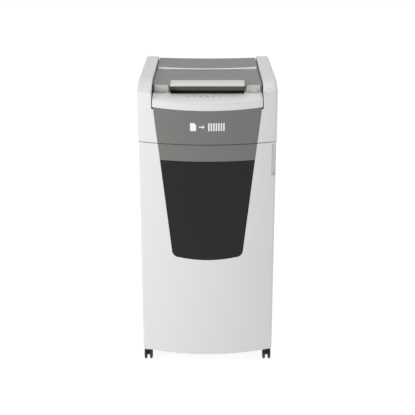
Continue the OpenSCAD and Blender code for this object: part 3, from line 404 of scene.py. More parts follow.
def mesh_piece(name, points, faces, finish, body, replaced=(), slot=None, smooth=40.0):
    """Mesh object from points and faces, merged, shaded smooth below an angle, riding on a body."""
    mesh = bpy.data.meshes.new(name)
    if isinstance(faces, np.ndarray):
        faces = faces.tolist()
    mesh.from_pydata(points.reshape(-1, 3).tolist(), [], faces)
    piece = bpy.data.objects.new(name, mesh)
    scene.collection.objects.link(piece)
    merge(mesh)
    mesh.polygons.foreach_set("use_smooth", np.ones(len(mesh.polygons), bool))
    mesh.set_sharp_from_angle(angle=math.radians(smooth))
    mesh.materials.append(finishes[finish])
    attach(piece, body)
    if replaced:
        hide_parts(*replaced)
    made[name] = len(mesh.polygons)
    return piece


def merge(mesh, gap=0.00001, recalculate=False):
    """Merges doubled points and drops collapsed faces."""
    import bmesh
    work = bmesh.new()
    work.from_mesh(mesh)
    bmesh.ops.remove_doubles(work, verts=work.verts, dist=gap)
    bmesh.ops.dissolve_degenerate(work, edges=work.edges, dist=gap / 2)
    if recalculate:
        bmesh.ops.recalc_face_normals(work, faces=work.faces)
    work.to_mesh(mesh)
    work.free()


def thicken(piece, wall):
    """Gives a sheet its wall, inwards."""
    layer = piece.modifiers.new("wall", "SOLIDIFY")
    layer.thickness = wall
    layer.offset = -1.0
    layer.use_even_offset = True
    layer.use_quality_normals = True
    return piece


def round_edges(piece, width, angle=40.0, steps=2):
    """Rounds every edge sharper than an angle."""
    layer = piece.modifiers.new("round", "BEVEL")
    layer.width = width
    layer.segments = steps
    layer.limit_method = "ANGLE"
    layer.angle_limit = math.radians(angle)
    layer.harden_normals = True
    layer.use_clamp_overlap = True
    return piece


def slab(outline, z0, z1):
    """Prism on a closed outline (x, y), counter-clockwise from above, between two heights."""
    n = len(outline)
    ring = np.arange(n)
    points = np.concatenate([np.column_stack([outline, np.full(n, z)]) for z in (z0, z1)])
    sides = np.stack([ring, np.roll(ring, -1), np.roll(ring, -1) + n, ring + n], axis=-1)
    return points, [ring[::-1].tolist(), (ring + n).tolist(), *sides.tolist()]


def soften(node, finish, body, width=0.0006):
    """Copy of a CAD node with flat areas joined and edges rounded; it replaces the node."""
    import bmesh
    mesh = nodes[node].data.copy()
    mesh.materials.clear()
    work = bmesh.new()
    work.from_mesh(mesh)
    bmesh.ops.remove_doubles(work, verts=work.verts, dist=0.000002)
    bmesh.ops.dissolve_limit(work, angle_limit=math.radians(0.6), verts=work.verts, edges=work.edges)
    work.to_mesh(mesh)
    work.free()
    piece = bpy.data.objects.new(node + "_finished", mesh)
    scene.collection.objects.link(piece)
    mesh.polygons.foreach_set("use_smooth", np.ones(len(mesh.polygons), bool))
    mesh.set_sharp_from_angle(angle=math.radians(35.0))
    mesh.materials.append(finishes[finish])
    round_edges(piece, width, angle=50.0)
    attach(piece, body)
    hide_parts(node)
    made[piece.name] = len(mesh.polygons)
    return piece


# %% [markdown]
# ## The bowed front
# Seen from above, the front of the cabinet is one long arc that turns into a small
# arc at each corner. Everything on the front lies on it, so one function gives the
# place for a distance along the arc, measured from the middle, and an inset depth.

# %% The plan of the front
half_width = cad_high.x
front, back = cad_low.y, cad_high.y
bow_rise, corner_radius, cabinet_step, wall = 0.044, 0.014, 0.0012, 0.003
bow_radius = (half_width ** 2 + bow_rise ** 2) / (2 * bow_rise)
bow_centre = front + bow_radius
corner_x = half_width - corner_radius
corner_y = bow_centre - math.sqrt((bow_radius - corner_radius) ** 2 - corner_x ** 2)
corner_turn = math.atan2(corner_x, bow_centre - corner_y)
corner_start = bow_radius * corner_turn


def on_bow(s, inset):
    """Plan place (x, y): turn = s / bow radius up to the corner, then s / corner radius on its arc."""
    beyond = np.maximum(np.abs(s) - corner_start, 0.0)
    turn = np.sign(s) * (np.minimum(np.abs(s), corner_start) / bow_radius + beyond / corner_radius)
    small = beyond > 0
    centre_x = np.where(small, np.sign(s) * corner_x, 0.0)
    centre_y = np.where(small, corner_y, bow_centre)
    radius = np.where(small, corner_radius, bow_radius) - inset
    return centre_x + radius * np.sin(turn), centre_y - radius * np.cos(turn)


def across(x):
    """Distance along the arc for a place x on it."""
    return bow_radius * np.arcsin(x / bow_radius)


def bow_points(s, z, inset):
    """Points (…, 3) on the bow for arrays of distance and height."""
    x, y = on_bow(s, inset)
    return np.stack(np.broadcast_arrays(x, y, z), axis=-1)


print("bow radius", round(bow_radius, 4), "corner centre", round(corner_x, 4), round(corner_y, 4))

# %% [markdown]
# ## The door
# The door is a white U: a broad field under the window, two columns beside it, and
# round barrels down both edges, the left one for the hinge. Cutting a hole with a
# Boolean would leave ragged triangles on a curved field, so the U is ruled instead:
# each row of the grid runs from a point on the opening to its partner on a line
# just inside the barrel, and two plain strips carry on round the barrels.

# %% Door measures
shell_low, shell_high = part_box("door_shell")
window_low, window_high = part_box("door_window")
door_z0, door_z1 = shell_low.z, shell_high.z
seam_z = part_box("front_panel")[0].z
window_z, band_z = seam_z - 0.372, seam_z - 0.053
slope = (0.3014 - 0.2156) / 2 / 0.372
window_radius, window_rise = 0.021, 0.007
sill_reach = 0.2156 / 2 - window_radius
sill_radius = (sill_reach ** 2 + window_rise ** 2) / (2 * window_rise)


def panel_edge(z):
    """Half width of the dark front at a height: a straight line that widens upwards."""
    return 0.1078 + slope * (z - window_z)


corner_cz = window_z + sill_radius - math.sqrt((sill_radius - window_radius) ** 2 - sill_reach ** 2)
corner_cx = panel_edge(corner_cz) - window_radius * math.sqrt(1 + slope ** 2)
turn_low = math.atan2(corner_cz - window_z - sill_radius, corner_cx)
turn_side = -math.atan(slope)
print("door", round(door_z1 - door_z0, 3), "m high; window corner at", round(corner_cx, 4),
      round(corner_cz, 4))


# %% Outlines of the opening
def lower_outline(grow, corner_steps=10, sill_steps=15):
    """Right half of the window's foot as (x, z): round corner, then the sill to the middle."""
    turns = np.linspace(turn_side, turn_low, corner_steps)
    radius = window_radius + grow
    corner = np.column_stack([corner_cx + radius * np.cos(turns), corner_cz + radius * np.sin(turns)])
    turns = np.linspace(turn_low, -math.pi / 2, sill_steps)[1:]
    radius = sill_radius + grow
    sill = np.column_stack([radius * np.cos(turns), window_z + sill_radius + radius * np.sin(turns)])
    return np.concatenate([corner, sill])


def opening_outline(side_heights):
    """Right half of the door's opening: down the side, round the corner, to the sill's middle."""
    foot = lower_outline(0.0)
    high = np.column_stack([panel_edge(side_heights), side_heights])
    return np.concatenate([high, foot])


# %% Door skin
grip_low, grip_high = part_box("door_grip")
grip_s = across(corner_x)
grip_end = corner_start + corner_radius * (math.acos(-0.007 / 0.0128) - corner_turn)
back_end = corner_start + corner_radius * (math.pi - corner_turn)
heights = np.concatenate([np.linspace(door_z1, grip_high.z + 0.0004, 3),
                          np.linspace(grip_high.z, grip_low.z, 16),
                          np.linspace(grip_low.z - 0.0004, door_z0, 38)])
side_count = heights.size - 12
inner = opening_outline(np.linspace(door_z1, corner_cz + 0.004, side_count))
outer_side = np.column_stack([np.full(heights.size, grip_s), heights])
outer_foot = np.column_stack([np.linspace(grip_s, 0.0, inner.shape[0] - heights.size + 1)[1:],
                              np.full(inner.shape[0] - heights.size, door_z0)])
outer = np.concatenate([outer_side, outer_foot])
steps = np.linspace(0.0, 1.0, 26)[None, :]
s_right = across(inner[:, :1]) * (1 - steps) + outer[:, :1] * steps
z_right = inner[:, 1:] * (1 - steps) + outer[:, 1:] * steps
barrel = np.unique(np.concatenate([np.linspace(grip_s, corner_start, 4),
                                   np.linspace(corner_start, grip_end, 14),
                                   np.linspace(grip_end, back_end, 8)]))
edge_s, edge_z = np.meshgrid(barrel, heights)
grid_parts = []
for side in (1, -1):
    grid_parts.append(as_grid(bow_points(side * s_right, z_right, cabinet_step)))
    strip_points, quads = as_grid(bow_points(side * edge_s, edge_z, cabinet_step))
    if side > 0:
        centre = strip_points.reshape(-1, 3)[quads].mean(axis=1)
        s_mid = edge_s.reshape(-1)[quads].mean(axis=1)
        hole = (s_mid < grip_end) & (centre[:, 2] < grip_high.z) & (centre[:, 2] > grip_low.z)
        quads = quads[~hole]
    grid_parts.append((strip_points, quads))
door_skin = mesh_piece("door_skin", *join_grids(*grid_parts), "white_plastic", "door", ("door_shell",))
thicken(door_skin, wall)
round_edges(door_skin, 0.0007)
print("door skin has", made["door_skin"], "quads")

# %% [markdown]
# The door is hollow, so a plate closes it at the top and at the foot. The hinge pin
# runs up through the left barrel, which is why the plates end before it and a flat
# ring with the pin's bore takes over there.


# %% Door end plates
def ring_plate(centre, hole, outside, z0, z1, steps=40):
    """Flat ring: loop (hole, z0), (outside, z0), (outside, z1), (hole, z1) turned round an axis."""
    turn = np.linspace(0, 2 * math.pi, steps + 1)[:, None]
    radius = np.array([hole, outside, outside, hole, hole])[None, :]
    z = np.array([z0, z0, z1, z1, z0])[None, :]
    return np.stack(np.broadcast_arrays(centre[0] + radius * np.cos(turn), centre[1] + radius * np.sin(turn),
                                        z), -1)


plate_inset = cabinet_step + wall - 0.0005
plate_back = corner_y + corner_radius - cabinet_step - wall - 0.0004
rim_y = corner_y + corner_radius - plate_inset
path_s = np.linspace(-across(corner_x - 0.006), back_end, 70)
plan_x, plan_y = on_bow(path_s, plate_inset)
plate = np.column_stack([np.append(plan_x, [corner_x - 0.006, corner_x - 0.006, 0.006 - corner_x]),
                         np.append(plan_y, [rim_y, plate_back, plate_back])])
for name, z in (("door_foot_plate", door_z0), ("door_top_plate", door_z1 - wall)):
    points, faces = slab(plate, z, z + wall)
    round_edges(mesh_piece(name, points, faces, "white_plastic", "door"), 0.0003)
    ring = ring_plate((-corner_x, corner_y), 0.0041, corner_radius - plate_inset, z, z + wall)
    mesh_piece(name + "_ring", *as_grid(ring, (-corner_x, corner_y, z)), "white_plastic", "door")
print("plates reach back to", round(plate_back, 4))

# %% [markdown]
# ## The window and the grey band
# The window is one dark moulding with round lower corners. Its grid runs from the
# straight top edge down to the rounded foot: column by column, a point of the top is
# joined to a point of the foot by a straight line on the unrolled bow.

# %% Window
gap = 0.0004
half_foot = lower_outline(-gap)
foot = np.concatenate([half_foot * (-1, 1), half_foot[-2::-1]])
run = np.concatenate([[0], np.cumsum(np.hypot(*np.diff(foot, axis=0).T))])
top_z = band_z - gap / 2
head = np.column_stack([(2 * run / run[-1] - 1) * (panel_edge(top_z) - gap), np.full(run.size, top_z)])
down = np.linspace(0, 1, 30)[:, None, None]
sheet = head[None] * (1 - down) + foot[None] * down
window = mesh_piece("dark_window", *as_grid(bow_points(across(sheet[..., 0]), sheet[..., 1],
                                                       cabinet_step + 0.0003)),
                    "smoked_window", "door", ("door_window",))
thicken(window, wall - 0.0003)
round_edges(window, 0.0005)
print("window is", round(window_high.z - window_low.z, 3), "m high")


# %% Grey band and front panel
def panel_sheet(low, high, rows, columns, inset):
    """Four-sided sheet on the bow: height between two edge functions of x, width between edges."""
    across_x = np.linspace(-1, 1, columns)[None, :]
    rise = np.linspace(0, 1, rows)[:, None]
    x = across_x * 0.16
    z = low(x) * (1 - rise) + high(x) * rise
    x = across_x * (panel_edge(z) - gap)
    z = low(x) * (1 - rise) + high(x) * rise
    return bow_points(across(x), z, inset)


strip_z = seam_z + 0.103
strip_arc = 2.27


def strip_edge(x):
    """Lower edge of the control strip: a shallow arc that rises to both ends."""
    return strip_z + strip_arc - np.sqrt(strip_arc ** 2 - x ** 2)


band = panel_sheet(lambda x: band_z + gap / 2 + 0 * x, lambda x: door_z1 + 0 * x, 8, 61, cabinet_step)
trim = mesh_piece("door_band", *as_grid(band), "grey_plastic", "door", ("door_trim",))
round_edges(thicken(trim, wall), 0.0005)
field = panel_sheet(lambda x: seam_z + 0 * x, lambda x: strip_edge(x) - gap, 16, 61, 0.0002)
panel = mesh_piece("front_field", *as_grid(field), "grey_plastic", "cabinet", ("front_panel",))
round_edges(thicken(panel, wall), 0.0005)
print("front panel rises to", round(float(field[..., 2].max()), 4))

# %% [markdown]
# ## A generic mark
# Where a maker would print a name, this machine carries a plain sign: a sheet of
# paper, an arrow and the strips it becomes. Each part of it is a tiny patch of
# film laid on the bow, a fifth of a millimetre proud of the recessed panel.


# %% Sign on the front panel
def film(left, right, low, high, rows=2, columns=4):
    """Patch on the bow between two heights. Each leaning edge is (x at low, x at high)."""
    rise = np.linspace(0, 1, rows)[:, None]
    over = np.linspace(0, 1, columns)[None, :]
    left_x, right_x = (edge[0] * (1 - rise) + edge[1] * rise for edge in (left, right))
    x = left_x * (1 - over) + right_x * over
    return as_grid(bow_points(across(x), low + (high - low) * rise + 0 * x, 0.00008))


sign_z = seam_z + 0.054
patches = [film((-0.052, -0.052), (-0.034, -0.034), sign_z - 0.012, sign_z + 0.006),
           film((-0.052, -0.052), (-0.034, -0.040), sign_z + 0.006, sign_z + 0.012),
           film((-0.026, -0.026), (-0.014, -0.014), sign_z - 0.0015, sign_z + 0.0015),
           film((-0.015, -0.015), (-0.008, -0.0148), sign_z, sign_z + 0.005),
           film((-0.015, -0.015), (-0.0148, -0.008), sign_z - 0.005, sign_z)]
patches += [film((x - 0.002, x - 0.002), (x + 0.002, x + 0.002), sign_z - 0.012, sign_z + 0.012)
            for x in np.arange(0.004, 0.052, 0.0075)]
mesh_piece("front_sign", *join_grids(*patches), "print_white", "cabinet", slot="white_plastic")
print("sign has", len(patches), "patches")

# %% [markdown]
# ## The control strip
# The white strip under the lid is a single moulding: an upright lip that follows the
# bow, a soft roll, and a shallow slope that rises to the lid. In the middle it is
# scooped so that fingers reach under the lid's handle. A row of small printed marks
# sits half way up the slope.

# %% Strip measures
strip_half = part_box("control_strip")[1].x
lid_low, lid_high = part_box("lid")
lip_z, strip_back, strip_top = strip_z + 0.024, lid_low.y - 0.0014, lid_high.z - 0.029
strip_rise = (strip_top - lip_z) / (strip_back - front)
scoop_half, scoop_y, scoop_end, scoop_z = 0.113, lid_low.y - 0.012, lid_low.y + 0.017, strip_top - 0.014
roll = 0.008


def smooth_step(value, low, high):
    """0 below low, 1 above high, 3t^2 - 2t^3 between."""
    t = np.clip((value - low) / (high - low), 0, 1)
    return t * t * (3 - 2 * t)


def slope_z(x, y):
    """Height of the strip's slope at a place, lowered by the scoop."""
    plain = lip_z + strip_rise * (y - front)
    end_drop = lip_z + strip_rise * (scoop_end - front) - scoop_z
    inside = 1 - smooth_step(np.abs(x), scoop_half - 0.0025, scoop_half)
    return plain - inside * end_drop * np.clip((y - scoop_y) / (scoop_end - scoop_y), 0, 1)


# %% Control strip
strip_x = np.unique(np.concatenate([np.linspace(-strip_half, strip_half, 61),
                                    np.linspace(scoop_half - 0.003, scoop_half + 0.0005, 6),
                                    -np.linspace(scoop_half - 0.003, scoop_half + 0.0005, 6)]))[None, :]
lip_y = on_bow(across(strip_x), 0.0)[1]
lean = math.pi / 2 - math.atan(strip_rise)
roll_turn = np.linspace(0, lean, 9)[:, None]
roll_y = lip_y + roll * (1 - np.cos(roll_turn))
roll_centre = lip_z + strip_rise * (lip_y + roll * (1 - math.cos(lean)) - front) - roll * math.sin(lean)
roll_z = roll_centre + roll * np.sin(roll_turn)
upright = np.linspace(0, 1, 6)[:-1, None]
lip_rows_z = strip_edge(strip_x) * (1 - upright) + roll_centre * upright
along = np.linspace(0, 1, 26)[1:, None]
end_y = np.where(np.abs(strip_x) < scoop_half, scoop_end, strip_back)
slope_y = roll_y[-1:] * (1 - along) + end_y * along
strip_points = np.stack([np.broadcast_to(strip_x, (5 + 9 + 25, strip_x.size)),
                         np.concatenate([lip_y + 0 * lip_rows_z, roll_y, slope_y]),
                         np.concatenate([lip_rows_z, roll_z, slope_z(strip_x, slope_y)])], axis=-1)
strip = mesh_piece("strip_cover", *as_grid(strip_points, (0, 0, 0.8)), "white_plastic", "cabinet",
                   ("control_strip",))
round_edges(thicken(strip, 0.0025), 0.0005)
print("strip is", round(2 * strip_half, 3), "m wide")


# %% Printed marks on the strip
def mark_disc(x, y, radius, hole=0.0):
    """Small disc or ring of print laid on the slope, a tenth of a millimetre above it."""
    turn = np.linspace(0, 2 * math.pi, 17)[:, None]
    reach_out = np.array([hole, radius])[None, :]
    px, py = x + reach_out * np.cos(turn), y + 1.6 * reach_out * np.sin(turn)
    return as_grid(np.stack([px, py, slope_z(px, py) + 0.00012], -1), (0, 0, 0))


def mark_bar(x, y, wide, deep):
    """Small bar of print on the slope."""
    px, py = np.meshgrid(np.linspace(x - wide / 2, x + wide / 2, 3),
                         np.linspace(y - deep / 2, y + deep / 2, 3))
    return as_grid(np.stack([px, py, slope_z(px, py) + 0.00012], -1), (0, 0, 0))


row_y = -0.226
dark_marks = [mark_bar(-0.0587, row_y, 0.011, 0.002), mark_bar(-0.0587, row_y + 0.005, 0.007, 0.002),
              mark_disc(-0.0384, row_y, 0.0034, 0.002), mark_bar(-0.0384, row_y + 0.007, 0.006, 0.0015),
              mark_disc(-0.0198, row_y, 0.0036, 0.0018), mark_disc(-0.0018, row_y, 0.0042, 0.0024),
              mark_bar(-0.0018, row_y, 0.0012, 0.010), mark_disc(0.0177, row_y, 0.0036, 0.0018),
              mark_bar(0.0357, row_y, 0.010, 0.002), mark_bar(0.0357, row_y + 0.005, 0.010, 0.002)]
faint_x = (-0.1337, -0.1073, -0.0827, 0.0581, 0.0821, 0.1091, 0.136)
faint_marks = [mark_disc(x, row_y, 0.0026, 0.0014) for x in faint_x]
mesh_piece("strip_marks", *join_grids(*dark_marks), "print_grey", "cabinet", slot="grey_plastic")
mesh_piece("strip_faint_marks", *join_grids(*faint_marks), "pale_plastic", "cabinet")
print(len(dark_marks) + len(faint_marks), "marks")

# %% [markdown]
# ## The shoulders
# Two white covers stand left and right of the lid. Each is one skin: it rises from
# the seam round the front corner and down the side, rolls over a rounded edge, runs
# across a level top that falls in a long brow to the front, and drops inside beside
# the lid. A path round the outside carries a cross-section: wall, roll, top, inner
# wall. The roll is tight where the cover meets the front panel and wide at the side.

# %% Path round a shoulder
shoulder_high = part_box("shoulder_right")[1]
top_z = shoulder_high.z
inner_x = 0.168
brow_y, brow_radius, rump_radius, rear_corner = front + 0.145, 0.265, 0.040, 0.018


def crest(y):
    """Height of the shoulder along its length: arc down to the front, level, arc down to the back."""
    ahead = np.maximum(brow_y - y, 0)
    behind = np.clip(y - (back - rump_radius), 0, rump_radius)
    fall = brow_radius - np.sqrt(brow_radius ** 2 - ahead ** 2)
    return top_z - fall - (rump_radius - np.sqrt(rump_radius ** 2 - behind ** 2))


bow_s = np.concatenate([np.linspace(across(inner_x), corner_start, 9)[:-1],
                        np.linspace(corner_start, corner_start + corner_radius * (math.pi / 2 - corner_turn),
                                    10)])
bow_x, bow_y = on_bow(bow_s, 0.0)
in_x, in_y = on_bow(bow_s, 0.01)
side_y = np.concatenate([np.linspace(corner_y, 0.2, 36)[1:], np.linspace(0.205, back - rear_corner, 12)])
bend = np.linspace(0, math.pi / 2, 9)[1:]
bend_x = half_width - rear_corner + rear_corner * np.cos(bend)
bend_y = back - rear_corner + rear_corner * np.sin(bend)
rear_x = np.linspace(half_width - rear_corner, inner_x, 6)[1:]
side_n, rear_n = side_y.size, rear_x.size
path = np.concatenate([np.column_stack([bow_x, bow_y]),
                       np.column_stack([np.full(side_n, half_width), side_y]),
                       np.column_stack([bend_x, bend_y]), np.column_stack([rear_x, np.full(rear_n, back)])])
inward = np.concatenate([np.column_stack([in_x - bow_x, in_y - bow_y]) / 0.01,
                         np.tile([-1.0, 0.0], (side_n, 1)), np.column_stack([-np.cos(bend), -np.sin(bend)]),
                         np.tile([0.0, -1.0], (rear_n, 1))])
place = np.arange(len(path))
marks_at = [0, bow_s.size - 1, bow_s.size + side_n - 1, len(path) - 1]
inner_y = np.interp(place, [0, bow_s.size - 1], [bow_y[0], corner_y])
inner_y = np.where(place >= marks_at[1], path[:, 1], inner_y)
inner_y = np.where(place > marks_at[2], np.interp(place, marks_at[2:], [back - rear_corner, back - 0.0005]),
                   inner_y)
roll_r = np.interp(place, [0, 8, marks_at[1], marks_at[1] + 6, marks_at[2], marks_at[2] + 5, marks_at[3]],
                   [0.016, 0.016, 0.013, 0.010, 0.009, 0.002, 0.001])[:, None]
print("path has", len(path), "stations")


# %% Skin over the path
def shoulder_skin(side):
    """Stations by section samples: wall (N = 0), roll N = r(1 - cos t), top to the inner line, wall."""
    base = path[:, None, :] + inward[:, None, :] * roll_r[:, :, None]
    edge_top = crest(np.clip(base[:, 0, 1], front, back))[:, None]
    low = np.linspace(seam_z, strip_z, 10)[None, :] + 0 * edge_top
    rise = np.linspace(0, 1, 8)[None, 1:]
    high = strip_z * (1 - rise) + (edge_top - roll_r) * rise
    wall_z = np.concatenate([low, high], axis=1)
    wall_xy = np.repeat(path[:, None, :], wall_z.shape[1], axis=1)
    turn = np.linspace(0, math.pi / 2, 9)[None, 1:]
    roll_xy = path[:, None, :] + inward[:, None, :] * (roll_r * (1 - np.cos(turn)))[:, :, None]
    roll_z = edge_top - roll_r + roll_r * np.sin(turn)
    inner = np.stack([np.full(len(path), inner_x), inner_y], axis=-1)[:, None, :]
    ease = np.linspace(0, 1, 12)[None, 1:, None]
    start = roll_xy[:, -1:, :]
    top_xy = start * (1 - ease) + inner * ease
    top_zs = crest(top_xy[..., 1])
    drop = np.array([0.0008, 0.006, 0.03])[None, :]
    down_z = np.minimum(top_zs[:, -1:] - drop, top_zs[:, -1:])
    down_xy = np.repeat(inner, 3, axis=1)
    xy = np.concatenate([wall_xy, roll_xy, top_xy, down_xy], axis=1)
    z = np.concatenate([wall_z, roll_z, top_zs, down_z], axis=1)
    xy[..., 0] = np.maximum(xy[..., 0], inner_x)
    skin = np.concatenate([xy, z[..., None]], axis=-1)
    apron_z = np.linspace(seam_z, strip_z, 10)[:, None]
    over = np.linspace(0, 1, 6)[None, :]
    apron_x = panel_edge(apron_z) * (1 - over) + inner_x * over
    apron = bow_points(across(apron_x), apron_z, 0.0)
    flip = np.array([side, 1, 1])
    return join_grids(as_grid(skin * flip, (side * 0.19, 0.0, 0.83)), as_grid(apron * flip))


for side, node in ((1, "shoulder_right"), (-1, "shoulder_left")):
    skin = mesh_piece(node + "_skin", *shoulder_skin(side), "white_plastic", "cabinet", (node,), smooth=50.0)
    thicken(skin, 0.0025).modifiers["wall"].use_even_offset = False
    round_edges(skin, 0.0006)
print("shoulder skins have", made["shoulder_left_skin"], "faces each")

# %% [markdown]
# ## The lid
# The lid is a grey shell, lower in front and raised behind a crease that is itself
# an arc. At the back it curls down into the barrel of its hinge. The grid's rows
# carry that side profile, and cells are left out for the manual feed slot and for
# the notch in which the handle sits.

# %% Lid profile
lid_half, lid_top = lid_high.x, lid_high.z
rim_z = strip_top
crease_y, crease_radius, dish = 0.058, 0.85, 0.003
barrel_radius = 0.022
barrel_y, barrel_z = lid_high.y - barrel_radius, lid_top - barrel_radius
slot_half, notch_half, notch_y = 0.113, 0.1135, lid_low.y + 0.025
lid_x = np.unique(np.concatenate([np.linspace(-lid_half, lid_half, 45),
                                  [-slot_half, slot_half, -notch_half, notch_half],
                                  [-lid_half + 0.0012, lid_half - 0.0012]]))[None, :]
crease = crease_y + crease_radius - np.sqrt(crease_radius ** 2 - lid_x ** 2)
sunk = dish * (1 - (lid_x / lid_half) ** 2)
low_front, low_back = lid_top - 0.006, lid_top - 0.0055


def rows(y, z):
    """Rows of (x, y, z) over the lid's width from y and z arrays of shape (rows, 1) or (rows, width)."""
    return np.stack(np.broadcast_arrays(lid_x, y, z), axis=-1)


upright = np.linspace(0, 1, 5)[:, None]
nose = np.linspace(0, math.pi / 2, 6)[1:, None]
slot_front, slot_back = 0.046, 0.054
flat_y = np.concatenate([np.linspace(lid_low.y + 0.002, notch_y, 7)[1:],
                         np.linspace(notch_y, slot_front, 26)[1:], [slot_back]])
crease_run = 0.007
lift = np.linspace(0, 1, 9)[:, None]
back_run = np.linspace(0, 1, 22)[1:, None]
curl = np.linspace(math.pi / 2, -math.pi / 2, 19)[1:, None]
profile = [rows(lid_low.y, rim_z + (low_front - 0.002 - rim_z) * upright),
           rows(lid_low.y + 0.002 - 0.002 * np.cos(nose), low_front - 0.002 + 0.002 * np.sin(nose)),
           rows(flat_y[:, None], low_front + (low_back - low_front) * (flat_y[:, None] + 0.19) / 0.25),
           rows(crease - 0.0004, low_back + 0 * lid_x),
           rows(crease + crease_run * lift, low_back + (lid_top - sunk - low_back) * smooth_step(lift, 0, 1)),
           rows((crease + crease_run) * (1 - back_run) + barrel_y * back_run, lid_top - sunk + 0 * back_run),
           rows(barrel_y + barrel_radius * np.cos(curl),
                barrel_z + (barrel_radius - sunk * np.maximum(np.sin(curl), 0)) * np.sin(curl))]
lid_points = np.concatenate(profile)
quads = as_grid(lid_points, (0, 0, 0.8))[1]
middle = lid_points.reshape(-1, 3)[quads].mean(axis=1)
slot_cell = ((np.abs(middle[:, 0]) < slot_half) & (middle[:, 1] > slot_front) & (middle[:, 1] < slot_back)
             & (middle[:, 2] > barrel_z))
notch_cell = (np.abs(middle[:, 0]) < notch_half) & (middle[:, 1] < notch_y)
quads = quads[~(slot_cell | notch_cell)]
cheeks = []
for column, side in ((0, -1), (-1, 1)):
    edge = lid_points[:, column]
    foot_z = np.where(edge[:, 1] > barrel_y - barrel_radius, barrel_z, rim_z)
    foot_y = np.where(edge[:, 1] > barrel_y, barrel_y, edge[:, 1])
    foot_z = np.minimum(foot_z, edge[:, 2])
    foot_line = np.column_stack([edge[:, 0], foot_y, foot_z])
    cheeks.append(as_grid(np.stack([edge, foot_line]), (0, 0, 0.9)))
notch_x = lid_x[0][np.abs(lid_x[0]) <= notch_half + 1e-6]
notch_top = low_front + (low_back - low_front) * (notch_y + 0.19) / 0.25
notch_wall = np.stack([np.column_stack([notch_x, np.full(notch_x.size, notch_y), np.full(notch_x.size, z)])
                       for z in (rim_z, notch_top)])
cover = mesh_piece("lid_shell", *join_grids((lid_points, quads), *cheeks,
                                            as_grid(notch_wall, (0, 0.1, 0.9))),
                   "lid_plastic", "lid", ("lid",), smooth=38.0)
thicken(cover, 0.0024).modifiers["wall"].use_even_offset = False
round_edges(cover, 0.0004)
print("lid shell has", made["lid_shell"], "faces")


# %% Painted highlight along the crease: a pale film on the lid's step
lip_x = np.linspace(-lid_half + 0.003, lid_half - 0.003, 61)[None, :]
lip_crease = crease_y + crease_radius - np.sqrt(crease_radius ** 2 - lip_x ** 2)
lip_fall = dish * (1 - (lip_x / lid_half) ** 2)
lip_turn = np.linspace(0, 1, 9)[:, None]
lip_z = low_back + (lid_top - lip_fall - low_back) * smooth_step(lip_turn, 0, 1) + 0.0003 * (1 - lip_turn)
lip_y = lip_crease - 0.0006 + crease_run * lip_turn
lip = np.stack(np.broadcast_arrays(lip_x, lip_y, lip_z), axis=-1)
# This pale film, a third of a millimetre over the crease's step, is a painted highlight where the raised rear
# of the lid catches the light.
mesh_piece("crease_highlight_film", *as_grid(lip, (0, 0.2, 0.5)), "lip_plastic", "lid", slot="pale_plastic")

# %% [markdown]
# ## Handle
# The handle is a pale bar across the front of the lid. Its section is a closed loop:
# a nearly flat top, a round nose and a hollow underside. The loop is carried along X
# and shrinks on a quarter circle over the last three millimetres at each end.

# %% Handle
handle_low, handle_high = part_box("lid_handle")
nose_turn = np.linspace(math.radians(100), math.radians(215), 12)
nose_centre = (handle_low.y + 0.0088, handle_high.z - 0.0052)
loop_y = np.concatenate([[handle_high.y, handle_high.y, -0.165, -0.185],
                         nose_centre[0] + 0.0044 * np.cos(nose_turn), [-0.205, -0.1654, -0.1654]])
loop_z = np.concatenate([[handle_high.z - 0.0052, handle_high.z - 0.0014, handle_high.z,
                          handle_high.z - 0.0004],
                         nose_centre[1] + 0.0044 * np.sin(nose_turn),
                         [handle_high.z - 0.0105, handle_high.z - 0.0115, handle_high.z - 0.0052]])
core_y, core_z = -0.185, handle_high.z - 0.005
end_turn = np.linspace(0, math.pi / 2, 6)
station = np.concatenate([handle_low.x + 0.003 * (1 - np.cos(end_turn)),
                          np.linspace(handle_low.x, handle_high.x, 24)[2:-2],
                          handle_high.x - 0.003 * (1 - np.cos(end_turn[::-1]))])
inset = np.concatenate([0.003 * (1 - np.sin(end_turn)), np.zeros(20), 0.003 * (1 - np.sin(end_turn[::-1]))])
loop_y, loop_z = np.append(loop_y, loop_y[0]), np.append(loop_z, loop_z[0])
size = np.hypot(loop_y - core_y, loop_z - core_z)[None, :]
keep = np.maximum(1 - inset[:, None] / np.maximum(size, 0.004), 0.2)
bar = np.stack(np.broadcast_arrays(station[:, None], core_y + (loop_y - core_y) * keep,
                                   core_z + (loop_z - core_z) * keep), -1)
caps = [np.stack([bar[i], np.broadcast_to([station[i], core_y, core_z], bar[i].shape)]) for i in (0, -1)]
core = (0, core_y, core_z)
handle_grids = [as_grid(sheet, core) for sheet in (bar, *caps)]
mesh_piece("handle_bar", *join_grids(*handle_grids), "handle_plastic", "lid", ("lid_handle",),
           slot="pale_plastic")
print("handle is", round(handle_high.x - handle_low.x, 3), "m wide")

# %% [markdown]
# ## Casters
# Each caster has two wheels on one axle. A wheel is turned on a lathe in the mind:
# a profile of radius against width, spun round the axle. The tyre and the hub are
# separate loops, because they are different plastics.


# %% Wheels
def lathe(radius, width, centre, steps=48):
    """Surface of revolution about X: (x, r cos t, r sin t) for a profile of radius and width."""
    turn = np.linspace(0, 2 * math.pi, steps + 1)[:, None]
    return np.stack(np.broadcast_arrays(centre[0] + width, centre[1] + radius * np.cos(turn),
                                        centre[2] + radius * np.sin(turn)), -1)


